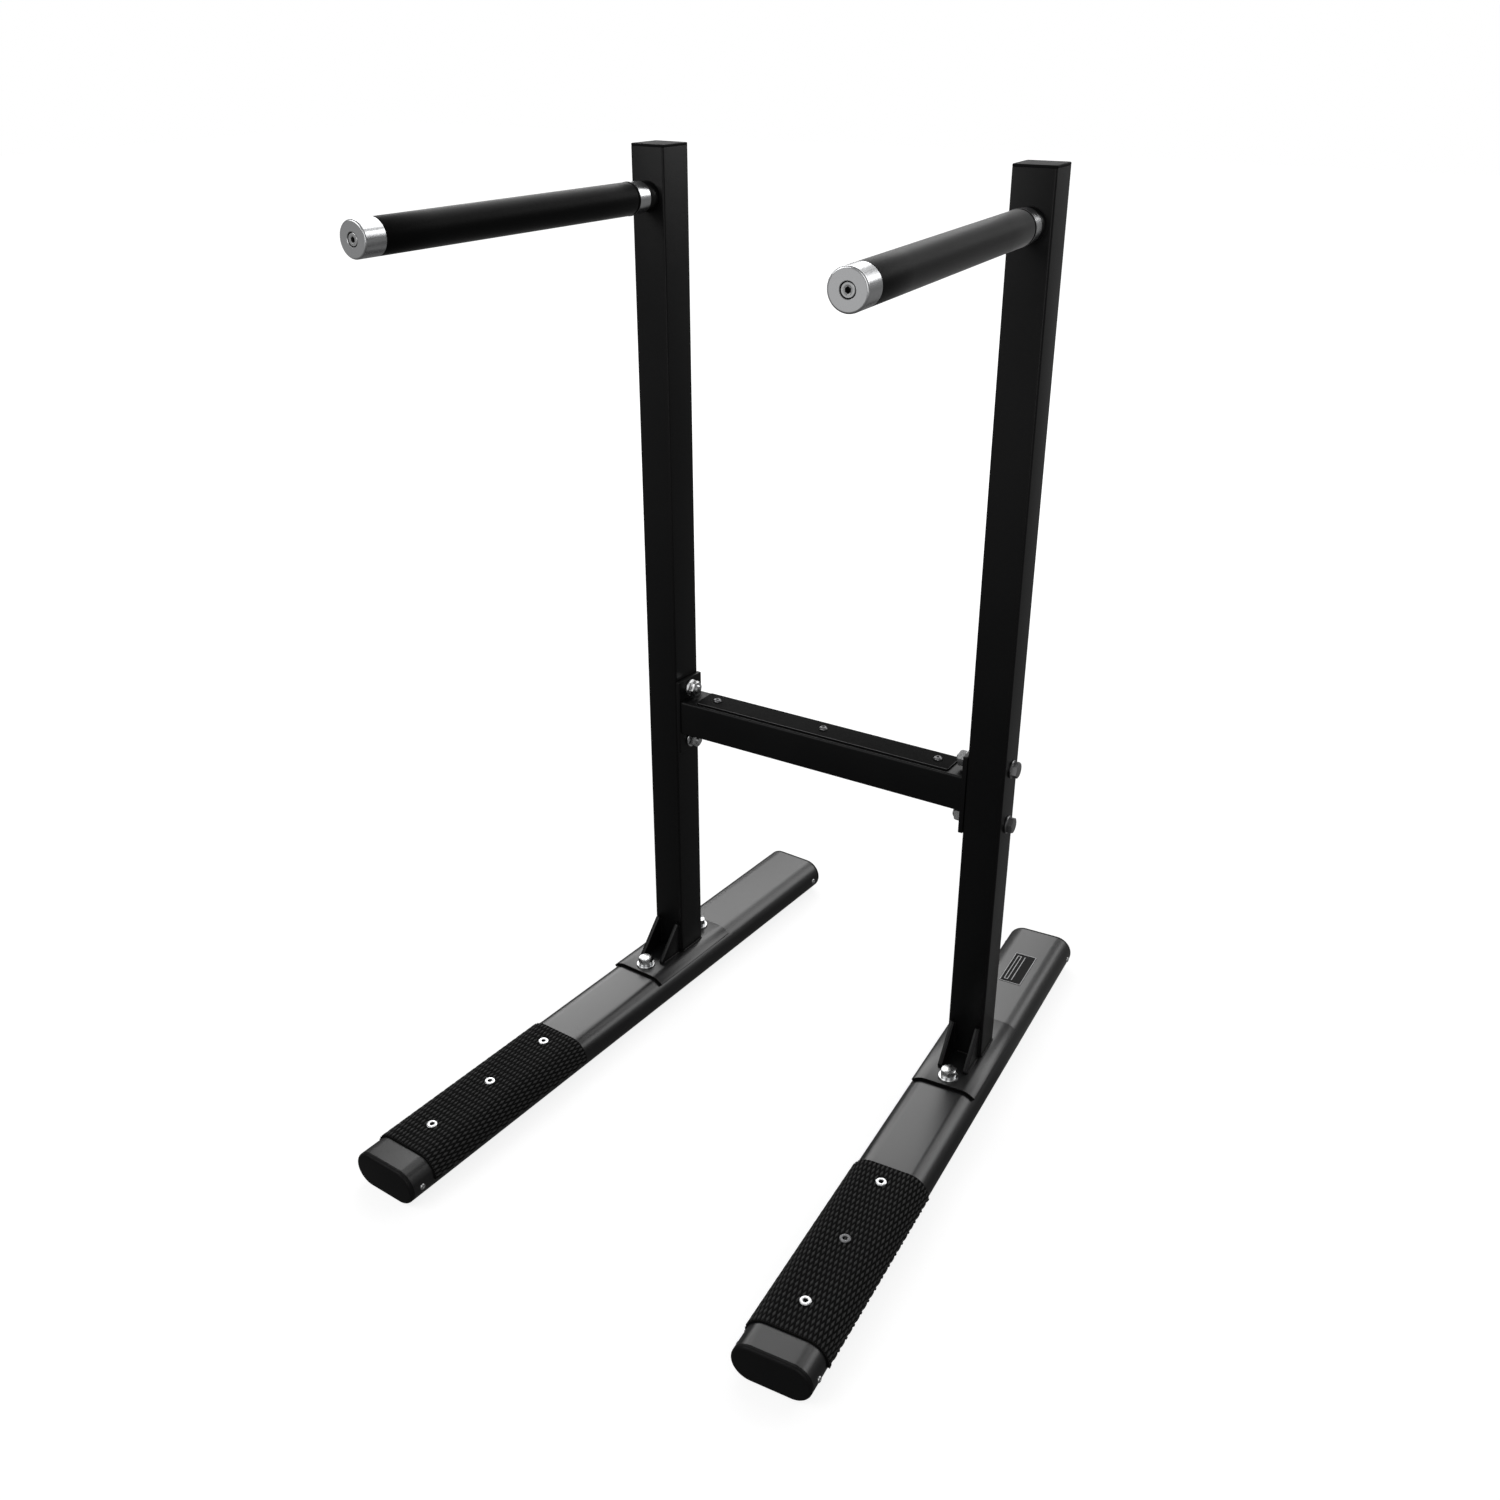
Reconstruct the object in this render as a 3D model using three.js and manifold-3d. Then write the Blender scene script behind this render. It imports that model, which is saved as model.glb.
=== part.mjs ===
// Dip station: two base beams that turn out towards the front, each with an upright and
// a forward handle, joined by a bolted crossbar.
// Millimetres. X runs to the right, -Y to the front and Z up. The origin is on the floor,
// under the middle of the footprint.
import * as THREE from 'three';
import { mergeVertices } from 'three/addons/utils/BufferGeometryUtils.js';
import Module from 'manifold-3d';

const wasm = await Module();
wasm.setup();

// Stance
const uprightSpacing = 491; // between the axes of the two uprights
const splayAngle = THREE.MathUtils.degToRad(3.75); // each side turns out by this much

// Fits
const seatGap = 0.3; // between a piece and what carries it
const boltClearance = 0.4; // round a shank in its hole
const cutOverrun = 2; // how far a cut runs past the face that it opens

// Base beams, flat-oval tube
const beamWidth = 100;
const beamHeight = 50;
const beamWall = 2.5;
const beamFrontReach = 611; // from the upright's axis to the face of the front cap
const beamRearReach = 324;

// End caps of the beams
const capFlange = 6;
const capEdgeRadius = 4.5;
const capSkirtWall = 3;
const capSkirtLength = 30;
const capScrewRadius = 2.5;
const capScrewInset = 20; // from the cap's face

// Foot treads, rubber wrapped over the front of the beams
const treadThickness = 3;
const treadLength = 291;
const treadFrontMargin = 40; // from the cap's face back to the tread
const treadWrapAngle = THREE.MathUtils.degToRad(95); // from straight up to a flap's edge
const treadScrewCount = 3;
const treadScrewRearMargin = 31; // from the tread's rear edge to the first screw
const treadScrewFrontMargin = 47;

// Button-head screws of the treads
const treadScrewRadius = 4;
const treadScrewHeadRadius = 7.2;
const treadScrewHeadHeight = 2.2;
const treadScrewSocket = 6; // across flats
const treadScrewLength = 16;
const rivetNutRadius = 6;
const rivetNutDepth = 12;

// Saddle plates, bent over the beams under the uprights
const saddleThickness = 4;
const saddleFlapAngle = THREE.MathUtils.degToRad(45);
const saddleFrontMargin = 77; // in front of the upright
const saddleRearMargin = 43; // behind the upright
const saddleBoltInset = 19; // from each end of the saddle

// Hex bolts of the frame, with their washers and nuts
const boltRadius = 6;
const hexAcross = 19;
const boltHeadHeight = 7.5;
const hexEdgeCut = 1;
const nutHeight = 10;
const washerRadius = 12;
const baseWasherRadius = 13.6;
const washerThickness = 2.5;
const springWasherRadius = 10.2;
const springWasherThickness = 3;
const springWasherSlot = 1.5;
const boltTail = 3; // of the shank that shows past its nut
const weldNutHeight = 10;

// Gussets in front of the uprights
const gussetThickness = 6;
const gussetReach = 44;
const gussetHeight = 50;
const gussetNose = 4;
const gussetInset = 4; // from the upright's side to the gusset

// Uprights, square tube
const uprightSide = 50;
const uprightWall = 3;
const uprightTop = 1206; // top of the plug, above the floor
const tubeCornerRadius = 3;
const tubeInnerCornerRadius = 1;
const plugFlange = 3;
const plugEdgeRadius = 1;
const plugSkirtWall = 2.5;
const plugSkirtLength = 18;

// Handles
const handleDrop = 59; // from the upright's top down to the handle's axis
const handleReach = 488; // from the upright's axis to the face of the end cap
const handleTubeRadius = 15;
const handleTubeWall = 3;
const handleInsertLength = 24;
const collarLength = 15.7;
const collarRootRadius = 18;
const collarRimRadius = 17.4;
const ferruleRadius = 18.6;
const gripRadius = 19.25;
const gripRearGap = 36; // from the upright's front face to the grip
const gripEdgeRadius = 1.5;
const endCapLength = 28;
const endCapFace = 9; // thickness of its front wall
const endCapBevel = 1.6;
const endScrewRadius = 4;
const endScrewHeadRadius = 7;
const endScrewHeadDepth = 4;
const endScrewSocket = 5; // across flats
const endScrewLength = 26;

// Crossbar, square tube with a welded plate at each end
const crossbarHeight = 452.5; // of its axis, above the floor
const crossbarSide = 50;
const crossbarWall = 3;
const endPlateThickness = 6;
const endPlateHeight = 110;

// Plate on top of the crossbar
const topPlateEndMargin = 20.9; // from each end of the crossbar, along its axis
const topPlateWidth = 39;
const topPlateThickness = 3;
const topPlateCornerRadius = 3;
const topPlateScrewCount = 3;
const topPlateScrewMargin = 23; // from each end of the plate
const topScrewRadius = 3;
const topScrewHeadRadius = 5.25;
const topScrewHeadHeight = 3.3;
const topScrewSocket = 4; // across flats
const topScrewLength = 14;

// Blank label plate on the right beam
const labelLength = 80;
const labelWidth = 33;
const labelThickness = 0.6;
const labelCornerRadius = 1.5;
const labelRearMargin = 75; // from the rear cap's face

// How finely round shapes are cut into flats
const arcSteps = 6;
const cornerSteps = 1;
const roundSides = 24;
const washerSides = 16;
const holeSides = 12;
const domeSteps = 2;
const edgeSteps = 2;

const powderCoat = new THREE.MeshStandardMaterial({ color: 0x1b1c1e, roughness: 0.5, metalness: 0.3 });
const beamCoat = new THREE.MeshStandardMaterial({ color: 0x26272a, roughness: 0.42, metalness: 0.3 });
const blackPlastic = new THREE.MeshStandardMaterial({ color: 0x232426, roughness: 0.5, metalness: 0 });
const treadRubber = new THREE.MeshStandardMaterial({ color: 0x17181a, roughness: 0.75, metalness: 0 });
const gripRubber = new THREE.MeshStandardMaterial({ color: 0x18191b, roughness: 0.55, metalness: 0 });
const aluminium = new THREE.MeshStandardMaterial({ color: 0xc9cacc, roughness: 0.35, metalness: 1 });
const zincSteel = new THREE.MeshStandardMaterial({ color: 0xb4b6b8, roughness: 0.35, metalness: 1 });
const labelMetal = new THREE.MeshStandardMaterial({ color: 0x3a3b3d, roughness: 0.5, metalness: 0.6 });

// Spaces a count of places evenly from one end to the other.
function spread(from, to, count) {
  return Array.from({ length: count }, (_, index) => from + (to - from) * index / (count - 1));
}

// Turns a closed geometry into a solid that can be cut and joined.
function solidFrom(geometry) {
  geometry.deleteAttribute('normal');
  geometry.deleteAttribute('uv');
  const merged = mergeVertices(geometry);
  const corners = merged.index.array;
  const triangles = [];
  for (let i = 0; i < corners.length; i += 3) {
    const [a, b, c] = corners.slice(i, i + 3);
    if (a !== b && b !== c && c !== a) triangles.push(a, b, c);
  }
  return new wasm.Manifold(new wasm.Mesh({
    numProp: 3,
    vertProperties: new Float32Array(merged.attributes.position.array),
    triVerts: new Uint32Array(triangles),
  }));
}

// Turns a finished solid into a named mesh.
function piece(name, solid, material) {
  const { vertProperties, triVerts, numProp } = solid.getMesh();
  const geometry = new THREE.BufferGeometry();
  geometry.setAttribute('position', new THREE.BufferAttribute(vertProperties, numProp));
  geometry.setIndex(new THREE.BufferAttribute(triVerts, 1));
  geometry.computeVertexNormals();
  const mesh = new THREE.Mesh(geometry, material);
  mesh.name = name;
  return mesh;
}

function joined(solids) {
  return solids.reduce((whole, solid) => whole.add(solid));
}

function cutBy(solid, tools) {
  return tools.reduce((whole, tool) => whole.subtract(tool), solid);
}

// Extrudes an outline of (across, height) forward along a side, that is towards -Y.
function extrudeForward(outline, from, to, steps = arcSteps) {
  const options = { depth: to - from, bevelEnabled: false, curveSegments: steps };
  const geometry = new THREE.ExtrudeGeometry(outline, options);
  geometry.rotateX(Math.PI / 2);
  geometry.translate(0, -from, 0);
  return solidFrom(geometry);
}

// Extrudes an outline of (across, depth) upwards.
function extrudeUp(outline, bottom, top) {
  const options = { depth: top - bottom, bevelEnabled: false, curveSegments: cornerSteps };
  const geometry = new THREE.ExtrudeGeometry(outline, options);
  geometry.translate(0, 0, bottom);
  return solidFrom(geometry);
}

// Extrudes an outline of (depth, height) to the right.
function extrudeAcross(outline, left, right) {
  const options = { depth: right - left, bevelEnabled: false, curveSegments: cornerSteps };
  const geometry = new THREE.ExtrudeGeometry(outline, options);
  geometry.rotateX(Math.PI / 2);
  geometry.rotateZ(Math.PI / 2);
  geometry.translate(left, 0, 0);
  return solidFrom(geometry);
}

function rodUp(radius, bottom, top, across, forward, sides = holeSides) {
  const geometry = new THREE.CylinderGeometry(radius, radius, top - bottom, sides);
  geometry.rotateX(Math.PI / 2);
  geometry.translate(across, -forward, (bottom + top) / 2);
  return solidFrom(geometry);
}

function rodForward(radius, from, to, height, sides = holeSides) {
  const geometry = new THREE.CylinderGeometry(radius, radius, to - from, sides);
  geometry.translate(0, -(from + to) / 2, height);
  return solidFrom(geometry);
}

function rodAcross(radius, left, right, forward, height, sides = holeSides) {
  const geometry = new THREE.CylinderGeometry(radius, radius, right - left, sides);
  geometry.rotateZ(Math.PI / 2);
  geometry.translate((left + right) / 2, -forward, height);
  return solidFrom(geometry);
}

function hexUp(acrossFlats, bottom, top) {
  const cornerRadius = acrossFlats / 2 / Math.cos(Math.PI / 6);
  return rodUp(cornerRadius, bottom, top, 0, 0, 6);
}

// Turns a profile of (radius, height) about a vertical axis.
function turnUp(profile, sides = holeSides) {
  const points = profile.map(([radius, height]) => new THREE.Vector2(radius, height));
  const geometry = new THREE.LatheGeometry(points, sides);
  geometry.rotateX(Math.PI / 2);
  return solidFrom(geometry);
}

// Turns a profile of (radius, distance forward) about a level axis at a height.
function turnForward(profile, height, sides = roundSides) {
  const points = profile.map(([radius, forward]) => new THREE.Vector2(radius, forward));
  const geometry = new THREE.LatheGeometry(points, sides);
  geometry.rotateX(Math.PI);
  geometry.translate(0, 0, height);
  return solidFrom(geometry);
}

// A flat-oval outline that stands on the floor line, its sides half-round.
function ovalOutline(width, height, inset, Kind = THREE.Shape) {
  const radius = height / 2 - inset;
  const centre = width / 2 - height / 2;
  const outline = new Kind();
  outline.moveTo(-centre, inset);
  outline.lineTo(centre, inset);
  outline.absarc(centre, height / 2, radius, -Math.PI / 2, Math.PI / 2, false);
  outline.lineTo(-centre, height - inset);
  outline.absarc(-centre, height / 2, radius, Math.PI / 2, Math.PI * 3 / 2, false);
  return outline;
}

// A sheet bent over the top of the beam, down to an angle on each side.
function wrapOutline(gap, thickness, angle) {
  const inner = beamHeight / 2 + gap;
  const outer = inner + thickness;
  const centre = beamWidth / 2 - beamHeight / 2;
  const middle = beamHeight / 2;
  const right = Math.PI / 2 - angle;
  const left = Math.PI / 2 + angle;
  const outline = new THREE.Shape();
  outline.absarc(centre, middle, outer, right, Math.PI / 2, false);
  outline.absarc(-centre, middle, outer, Math.PI / 2, left, false);
  outline.absarc(-centre, middle, inner, left, Math.PI / 2, true);
  outline.absarc(centre, middle, inner, Math.PI / 2, right, true);
  outline.closePath();
  return outline;
}

// A rectangle with rounded corners about the point (0, middle).
function rectOutline(width, depth, radius, middle = 0, Kind = THREE.Shape) {
  const x = width / 2 - radius;
  const y = depth / 2 - radius;
  const outline = new Kind();
  outline.absarc(x, middle - y, radius, -Math.PI / 2, 0, false);
  outline.absarc(x, middle + y, radius, 0, Math.PI / 2, false);
  outline.absarc(-x, middle + y, radius, Math.PI / 2, Math.PI, false);
  outline.absarc(-x, middle - y, radius, Math.PI, Math.PI * 3 / 2, false);
  outline.closePath();
  return outline;
}

// A square tube's section with rounded corners.
function squareTubeOutline(side, wall, middle = 0) {
  const outline = rectOutline(side, side, tubeCornerRadius, middle);
  const bore = side - 2 * wall;
  outline.holes.push(rectOutline(bore, bore, tubeInnerCornerRadius, middle, THREE.Path));
  return outline;
}

// A hex head or nut, its outer edges cut back.
function hexBlock(bottom, top) {
  const corner = hexAcross / 2 / Math.cos(Math.PI / 6);
  return turnUp([
    [0, bottom],
    [corner, bottom],
    [corner, top - hexEdgeCut],
    [corner - hexEdgeCut, top],
    [0, top],
  ], 6);
}

// A screw with a domed head, its seat at height 0 and its shank below.
function buttonScrew(radius, headRadius, headHeight, socketAcross, length) {
  const rim = headHeight / 6;
  const dome = [[0, 0], [headRadius, 0]];
  for (let step = 0; step <= domeSteps; step += 1) {
    const turn = step / domeSteps * Math.PI / 2;
    dome.push([headRadius * Math.cos(turn), rim + (headHeight - rim) * Math.sin(turn)]);
  }
  const socket = hexUp(socketAcross, headHeight / 3, headHeight + cutOverrun);
  const head = turnUp(dome).subtract(socket);
  return head.add(rodUp(radius, -length, headHeight / 4, 0, 0));
}

// Places that pieces on one side share, as distances in front of the upright's axis
const uprightHalf = uprightSide / 2;
const saddleFront = uprightHalf + saddleFrontMargin;
const saddleRear = -uprightHalf - saddleRearMargin;
const saddleBolts = [saddleFront - saddleBoltInset, saddleRear + saddleBoltInset];
const treadFront = beamFrontReach - treadFrontMargin;
const treadRear = treadFront - treadLength;
const rearTreadScrew = treadRear + treadScrewRearMargin;
const frontTreadScrew = treadFront - treadScrewFrontMargin;
const treadScrews = spread(rearTreadScrew, frontTreadScrew, treadScrewCount);
const capScrews = [beamFrontReach - capScrewInset, capScrewInset - beamRearReach];

// Heights that pieces share
const saddleTop = beamHeight + seatGap + saddleThickness;
const treadTop = beamHeight + seatGap + treadThickness;
const handleHeight = uprightTop - handleDrop;
const crossbarTop = crossbarHeight + crossbarSide / 2;
const crossBoltOffset = (crossbarSide + endPlateHeight) / 4;
const crossBolts = [crossbarHeight + crossBoltOffset, crossbarHeight - crossBoltOffset];

// Places that the crossbar's pieces share, measured out from an upright's axis
const endPlateSeat = uprightHalf + seatGap;
const crossbarEnd = endPlateSeat + endPlateThickness + seatGap;
const topPlateLength = uprightSpacing - 2 * (crossbarEnd + topPlateEndMargin);
const topScrewReach = topPlateLength / 2 - topPlateScrewMargin;
const topScrews = spread(-topScrewReach, topScrewReach, topPlateScrewCount);

// A flat-oval tube, with nuts fixed under its top wall
function baseBeam() {
  const outline = ovalOutline(beamWidth, beamHeight, 0);
  outline.holes.push(ovalOutline(beamWidth, beamHeight, beamWall, THREE.Path));
  const capDepth = capFlange + seatGap;
  const tube = extrudeForward(outline, capDepth - beamRearReach, beamFrontReach - capDepth);
  const innerTop = beamHeight - beamWall;
  const insideWall = innerTop + beamWall / 2;
  const weldNuts = saddleBolts.map((forward) => (
    rodUp(hexAcross / 2 / Math.cos(Math.PI / 6), innerTop - weldNutHeight, insideWall, 0, forward, 6)));
  const rivetNuts = treadScrews.map((forward) => (
    rodUp(rivetNutRadius, innerTop - rivetNutDepth, insideWall, 0, forward)));
  const boltHoles = saddleBolts.map((forward) => (
    rodUp(boltRadius + boltClearance, beamHeight / 2, beamHeight + cutOverrun, 0, forward)));
  const screwHoles = treadScrews.map((forward) => (
    rodUp(treadScrewRadius + boltClearance, beamHeight / 2, beamHeight + cutOverrun, 0, forward)));
  const capHoles = capScrews.map((forward) => (
    rodAcross(capScrewRadius, -beamWidth, beamWidth, forward, beamHeight / 2)));
  return cutBy(joined([tube, ...weldNuts, ...rivetNuts]), [...boltHoles, ...screwHoles, ...capHoles]);
}

// A plug that closes the beam's front end, its outer edge rounded
function baseCap() {
  const edge = {
    depth: capFlange,
    bevelEnabled: true,
    bevelThickness: capEdgeRadius,
    bevelSize: capEdgeRadius,
    bevelOffset: -capEdgeRadius,
    bevelSegments: edgeSteps,
    curveSegments: arcSteps,
  };
  const block = new THREE.ExtrudeGeometry(ovalOutline(beamWidth, beamHeight, 0), edge);
  block.rotateX(Math.PI / 2);
  block.translate(0, capFlange + capEdgeRadius - beamFrontReach, 0);
  const flangeRear = beamFrontReach - capFlange;
  const skirtRear = flangeRear - capSkirtLength;
  const frontPart = extrudeForward(
    rectOutline(beamWidth + cutOverrun, beamHeight + cutOverrun, cutOverrun, beamHeight / 2),
    flangeRear,
    beamFrontReach + cutOverrun,
  );
  const skirtInset = beamWall + seatGap;
  const skirtOutline = ovalOutline(beamWidth, beamHeight, skirtInset);
  skirtOutline.holes.push(ovalOutline(beamWidth, beamHeight, skirtInset + capSkirtWall, THREE.Path));
  const skirt = extrudeForward(skirtOutline, skirtRear, flangeRear + capFlange / 2);
  const screwPlace = beamFrontReach - capScrewInset;
  const hole = rodAcross(capScrewRadius, -beamWidth, beamWidth, screwPlace, beamHeight / 2);
  return solidFrom(block).intersect(frontPart).add(skirt).subtract(hole);
}

function footTread() {
  const outline = wrapOutline(seatGap, treadThickness, treadWrapAngle);
  const sheet = extrudeForward(outline, treadRear, treadFront);
  return cutBy(sheet, treadScrews.map((forward) => (
    rodUp(treadScrewRadius + boltClearance, beamHeight / 2, treadTop + cutOverrun, 0, forward))));
}

function saddlePlate() {
  const outline = wrapOutline(seatGap, saddleThickness, saddleFlapAngle);
  const sheet = extrudeForward(outline, saddleRear, saddleFront);
  return cutBy(sheet, saddleBolts.map((forward) => (
    rodUp(boltRadius + boltClearance, beamHeight / 2, saddleTop + cutOverrun, 0, forward))));
}

// A triangular plate with blunt tips, drawn from the side as (forward, height)
function gusset(across) {
  const root = uprightHalf + seatGap;
  const tip = uprightHalf + gussetReach;
  const top = saddleTop + gussetHeight;
  const outline = new THREE.Shape([
    new THREE.Vector2(-root, saddleTop),
    new THREE.Vector2(-root, top),
    new THREE.Vector2(-root - gussetNose, top),
    new THREE.Vector2(-tip, saddleTop + gussetNose),
    new THREE.Vector2(-tip, saddleTop),
  ]);
  return extrudeAcross(outline, across - gussetThickness / 2, across + gussetThickness / 2);
}

// A square tube with a hole for the handle in front, and for the crossbar's bolts through it
function upright() {
  const tube = extrudeUp(squareTubeOutline(uprightSide, uprightWall), saddleTop, uprightTop - plugFlange);
  const handleHole = rodForward(
    handleTubeRadius + seatGap, 0, uprightHalf + cutOverrun, handleHeight, roundSides);
  const boltHoles = crossBolts.map((height) => (
    rodAcross(boltRadius + boltClearance, -uprightSide, uprightSide, 0, height)));
  return cutBy(tube, [handleHole, ...boltHoles]);
}

// A square plug whose flange covers the end of the upright, with a softened edge
function uprightPlug() {
  const edge = {
    depth: plugFlange,
    bevelEnabled: true,
    bevelThickness: plugEdgeRadius,
    bevelSize: plugEdgeRadius,
    bevelOffset: -plugEdgeRadius,
    bevelSegments: 2,
    curveSegments: cornerSteps,
  };
  const block = new THREE.ExtrudeGeometry(rectOutline(uprightSide, uprightSide, tubeCornerRadius), edge);
  block.translate(0, 0, uprightTop - plugFlange - plugEdgeRadius);
  const flangeBottom = uprightTop - plugFlange;
  const wide = uprightSide + cutOverrun;
  const upperPart = extrudeUp(rectOutline(wide, wide, cutOverrun), flangeBottom, uprightTop + cutOverrun);
  const skirtSide = uprightSide - 2 * uprightWall - 2 * seatGap;
  const skirtBore = skirtSide - 2 * plugSkirtWall;
  const skirtOutline = rectOutline(skirtSide, skirtSide, tubeInnerCornerRadius);
  skirtOutline.holes.push(rectOutline(skirtBore, skirtBore, tubeInnerCornerRadius, 0, THREE.Path));
  const skirt = extrudeUp(skirtOutline, flangeBottom - plugSkirtLength, flangeBottom + plugFlange / 2);
  return solidFrom(block).intersect(upperPart).add(skirt);
}

// A hex bolt with its seat at height 0, the head above and the shank below
function baseBolt() {
  const stack = washerThickness + springWasherThickness + saddleThickness;
  const length = stack + seatGap + beamWall + weldNutHeight + boltTail;
  return hexBlock(0, boltHeadHeight).add(rodUp(boltRadius, -length, boltHeadHeight / 2, 0, 0));
}

// A flat washer with a split spring washer on it
function washerSet() {
  const bore = boltRadius + boltClearance;
  const flat = rodUp(baseWasherRadius, 0, washerThickness, 0, 0, washerSides);
  const top = washerThickness + springWasherThickness;
  const spring = rodUp(springWasherRadius, washerThickness / 2, top, 0, 0, washerSides);
  const slot = new THREE.BoxGeometry(springWasherRadius * 2, springWasherSlot, springWasherThickness);
  slot.rotateX(Math.PI / 6);
  slot.translate(springWasherRadius, 0, washerThickness + springWasherThickness);
  const hole = rodUp(bore, -cutOverrun, top + cutOverrun, 0, 0);
  return cutBy(joined([flat, spring]), [solidFrom(slot), hole]);
}

// A tube that runs from inside the upright to the end cap, with a threaded insert at its end
function handleTube() {
  const rear = uprightWall + seatGap - uprightHalf;
  const front = handleReach - endCapFace - seatGap;
  const bore = handleTubeRadius - handleTubeWall;
  const threadRadius = endScrewRadius + boltClearance;
  return turnForward([
    [bore, rear],
    [handleTubeRadius, rear],
    [handleTubeRadius, front],
    [threadRadius, front],
    [threadRadius, front - handleInsertLength],
    [bore, front - handleInsertLength],
    [bore, rear],
  ], handleHeight);
}

function handleCollar() {
  const rear = uprightHalf + seatGap;
  const front = rear + collarLength;
  const bore = handleTubeRadius + seatGap;
  return turnForward([
    [bore, rear],
    [collarRootRadius, rear],
    [collarRootRadius, rear + collarLength / 4],
    [collarRimRadius, front],
    [bore, front],
    [bore, rear],
  ], handleHeight);
}

// A bright ring between the collar and the grip
function gripFerrule() {
  const rear = uprightHalf + seatGap + collarLength + seatGap;
  const front = uprightHalf + gripRearGap - seatGap;
  const bore = handleTubeRadius + seatGap;
  return turnForward([
    [bore, rear],
    [ferruleRadius, rear],
    [ferruleRadius, front],
    [bore, front],
    [bore, rear],
  ], handleHeight);
}

function grip() {
  const rear = uprightHalf + gripRearGap;
  const front = handleReach - endCapLength - seatGap;
  const bore = handleTubeRadius + seatGap;
  return turnForward([
    [bore, rear],
    [gripRadius - gripEdgeRadius, rear],
    [gripRadius, rear + gripEdgeRadius],
    [gripRadius, front - gripEdgeRadius / 3],
    [gripRadius - gripEdgeRadius / 3, front],
    [bore, front],
    [bore, rear],
  ], handleHeight);
}

// A cup over the end of the handle tube, countersunk for its screw
function gripEndCap() {
  const rear = handleReach - endCapLength;
  const bore = handleTubeRadius + seatGap;
  const sinkRadius = endScrewHeadRadius + seatGap;
  const holeRadius = endScrewRadius + boltClearance;
  return turnForward([
    [bore, rear],
    [gripRadius, rear],
    [gripRadius, handleReach - endCapBevel],
    [gripRadius - endCapBevel, handleReach],
    [sinkRadius, handleReach],
    [holeRadius, handleReach - endScrewHeadDepth],
    [holeRadius, handleReach - endCapFace],
    [bore, handleReach - endCapFace],
    [bore, rear],
  ], handleHeight);
}

function endCapScrew() {
  const face = handleReach - seatGap;
  const neck = handleReach - endScrewHeadDepth - seatGap;
  const screw = turnForward([
    [0, face - endScrewLength],
    [endScrewRadius, face - endScrewLength],
    [endScrewRadius, neck],
    [endScrewHeadRadius - seatGap, face - seatGap],
    [endScrewHeadRadius - seatGap, face],
    [0, face],
  ], handleHeight, holeSides);
  const socketCorner = endScrewSocket / 2 / Math.cos(Math.PI / 6);
  const socketFloor = handleReach - endScrewHeadDepth;
  return screw.subtract(rodForward(socketCorner, socketFloor, handleReach + cutOverrun, handleHeight, 6));
}

// The end plate of the crossbar, on the inner face of one upright
function endPlate(side) {
  const near = endPlateSeat;
  const far = near + endPlateThickness;
  const outline = rectOutline(uprightSide, endPlateHeight, tubeInnerCornerRadius, crossbarHeight);
  const plate = extrudeAcross(outline, side > 0 ? -far : near, side > 0 ? -near : far);
  return cutBy(plate, crossBolts.map((height) => (
    rodAcross(boltRadius + boltClearance, -uprightSide, uprightSide, 0, height))));
}

// Where a crossbar bolt's parts lie along its axis, outwards from the upright's axis
const crossHeadSeat = uprightHalf + seatGap + washerThickness;
const crossNutSeat = crossbarEnd + washerThickness;

// A bolt through an upright, with its washer under the head
function crossBolt() {
  const length = crossHeadSeat + crossNutSeat + nutHeight + boltTail;
  const washer = rodUp(washerRadius, -washerThickness, 0, 0, 0, washerSides);
  const head = hexBlock(-washerThickness / 2, boltHeadHeight);
  return joined([head, washer, rodUp(boltRadius, -length, boltHeadHeight / 2, 0, 0)]);
}

function crossNut() {
  const washer = rodUp(washerRadius, -washerThickness, 0, 0, 0, washerSides);
  const bore = boltRadius + boltClearance;
  const hole = rodUp(bore, -washerThickness - cutOverrun, nutHeight + cutOverrun, 0, 0);
  return hexBlock(-washerThickness / 2, nutHeight).add(washer).subtract(hole);
}

// The crossbar's tube, its ends cut to the splay of the end plates
function crossbar() {
  const halfSpan = uprightSpacing / 2;
  const tube = extrudeAcross(
    squareTubeOutline(crossbarSide, crossbarWall, crossbarHeight), -halfSpan, halfSpan);
  const trims = [-1, 1].map((side) => {
    const block = new THREE.BoxGeometry(uprightSpacing, uprightSpacing, crossbarSide + 2 * cutOverrun);
    block.translate(side * (uprightSpacing / 2 - crossbarEnd), 0, crossbarHeight);
    block.rotateZ(side * splayAngle);
    block.translate(side * halfSpan, 0, 0);
    return solidFrom(block);
  });
  const screwHoles = topScrews.map((across) => (
    rodUp(topScrewRadius + boltClearance, crossbarHeight, crossbarTop + cutOverrun, across, 0)));
  return cutBy(tube, [...trims, ...screwHoles]);
}

function topPlate() {
  const outline = rectOutline(topPlateLength, topPlateWidth, topPlateCornerRadius);
  const top = crossbarTop + topPlateThickness;
  const plate = extrudeUp(outline, crossbarTop, top);
  return cutBy(plate, topScrews.map((across) => (
    rodUp(topScrewRadius + boltClearance, crossbarHeight, top + cutOverrun, across, 0))));
}

function labelPlate() {
  const rear = labelRearMargin - beamRearReach;
  const outline = rectOutline(labelWidth, labelLength, labelCornerRadius, -rear - labelLength / 2);
  return extrudeUp(outline, beamHeight, beamHeight + labelThickness);
}

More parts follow.
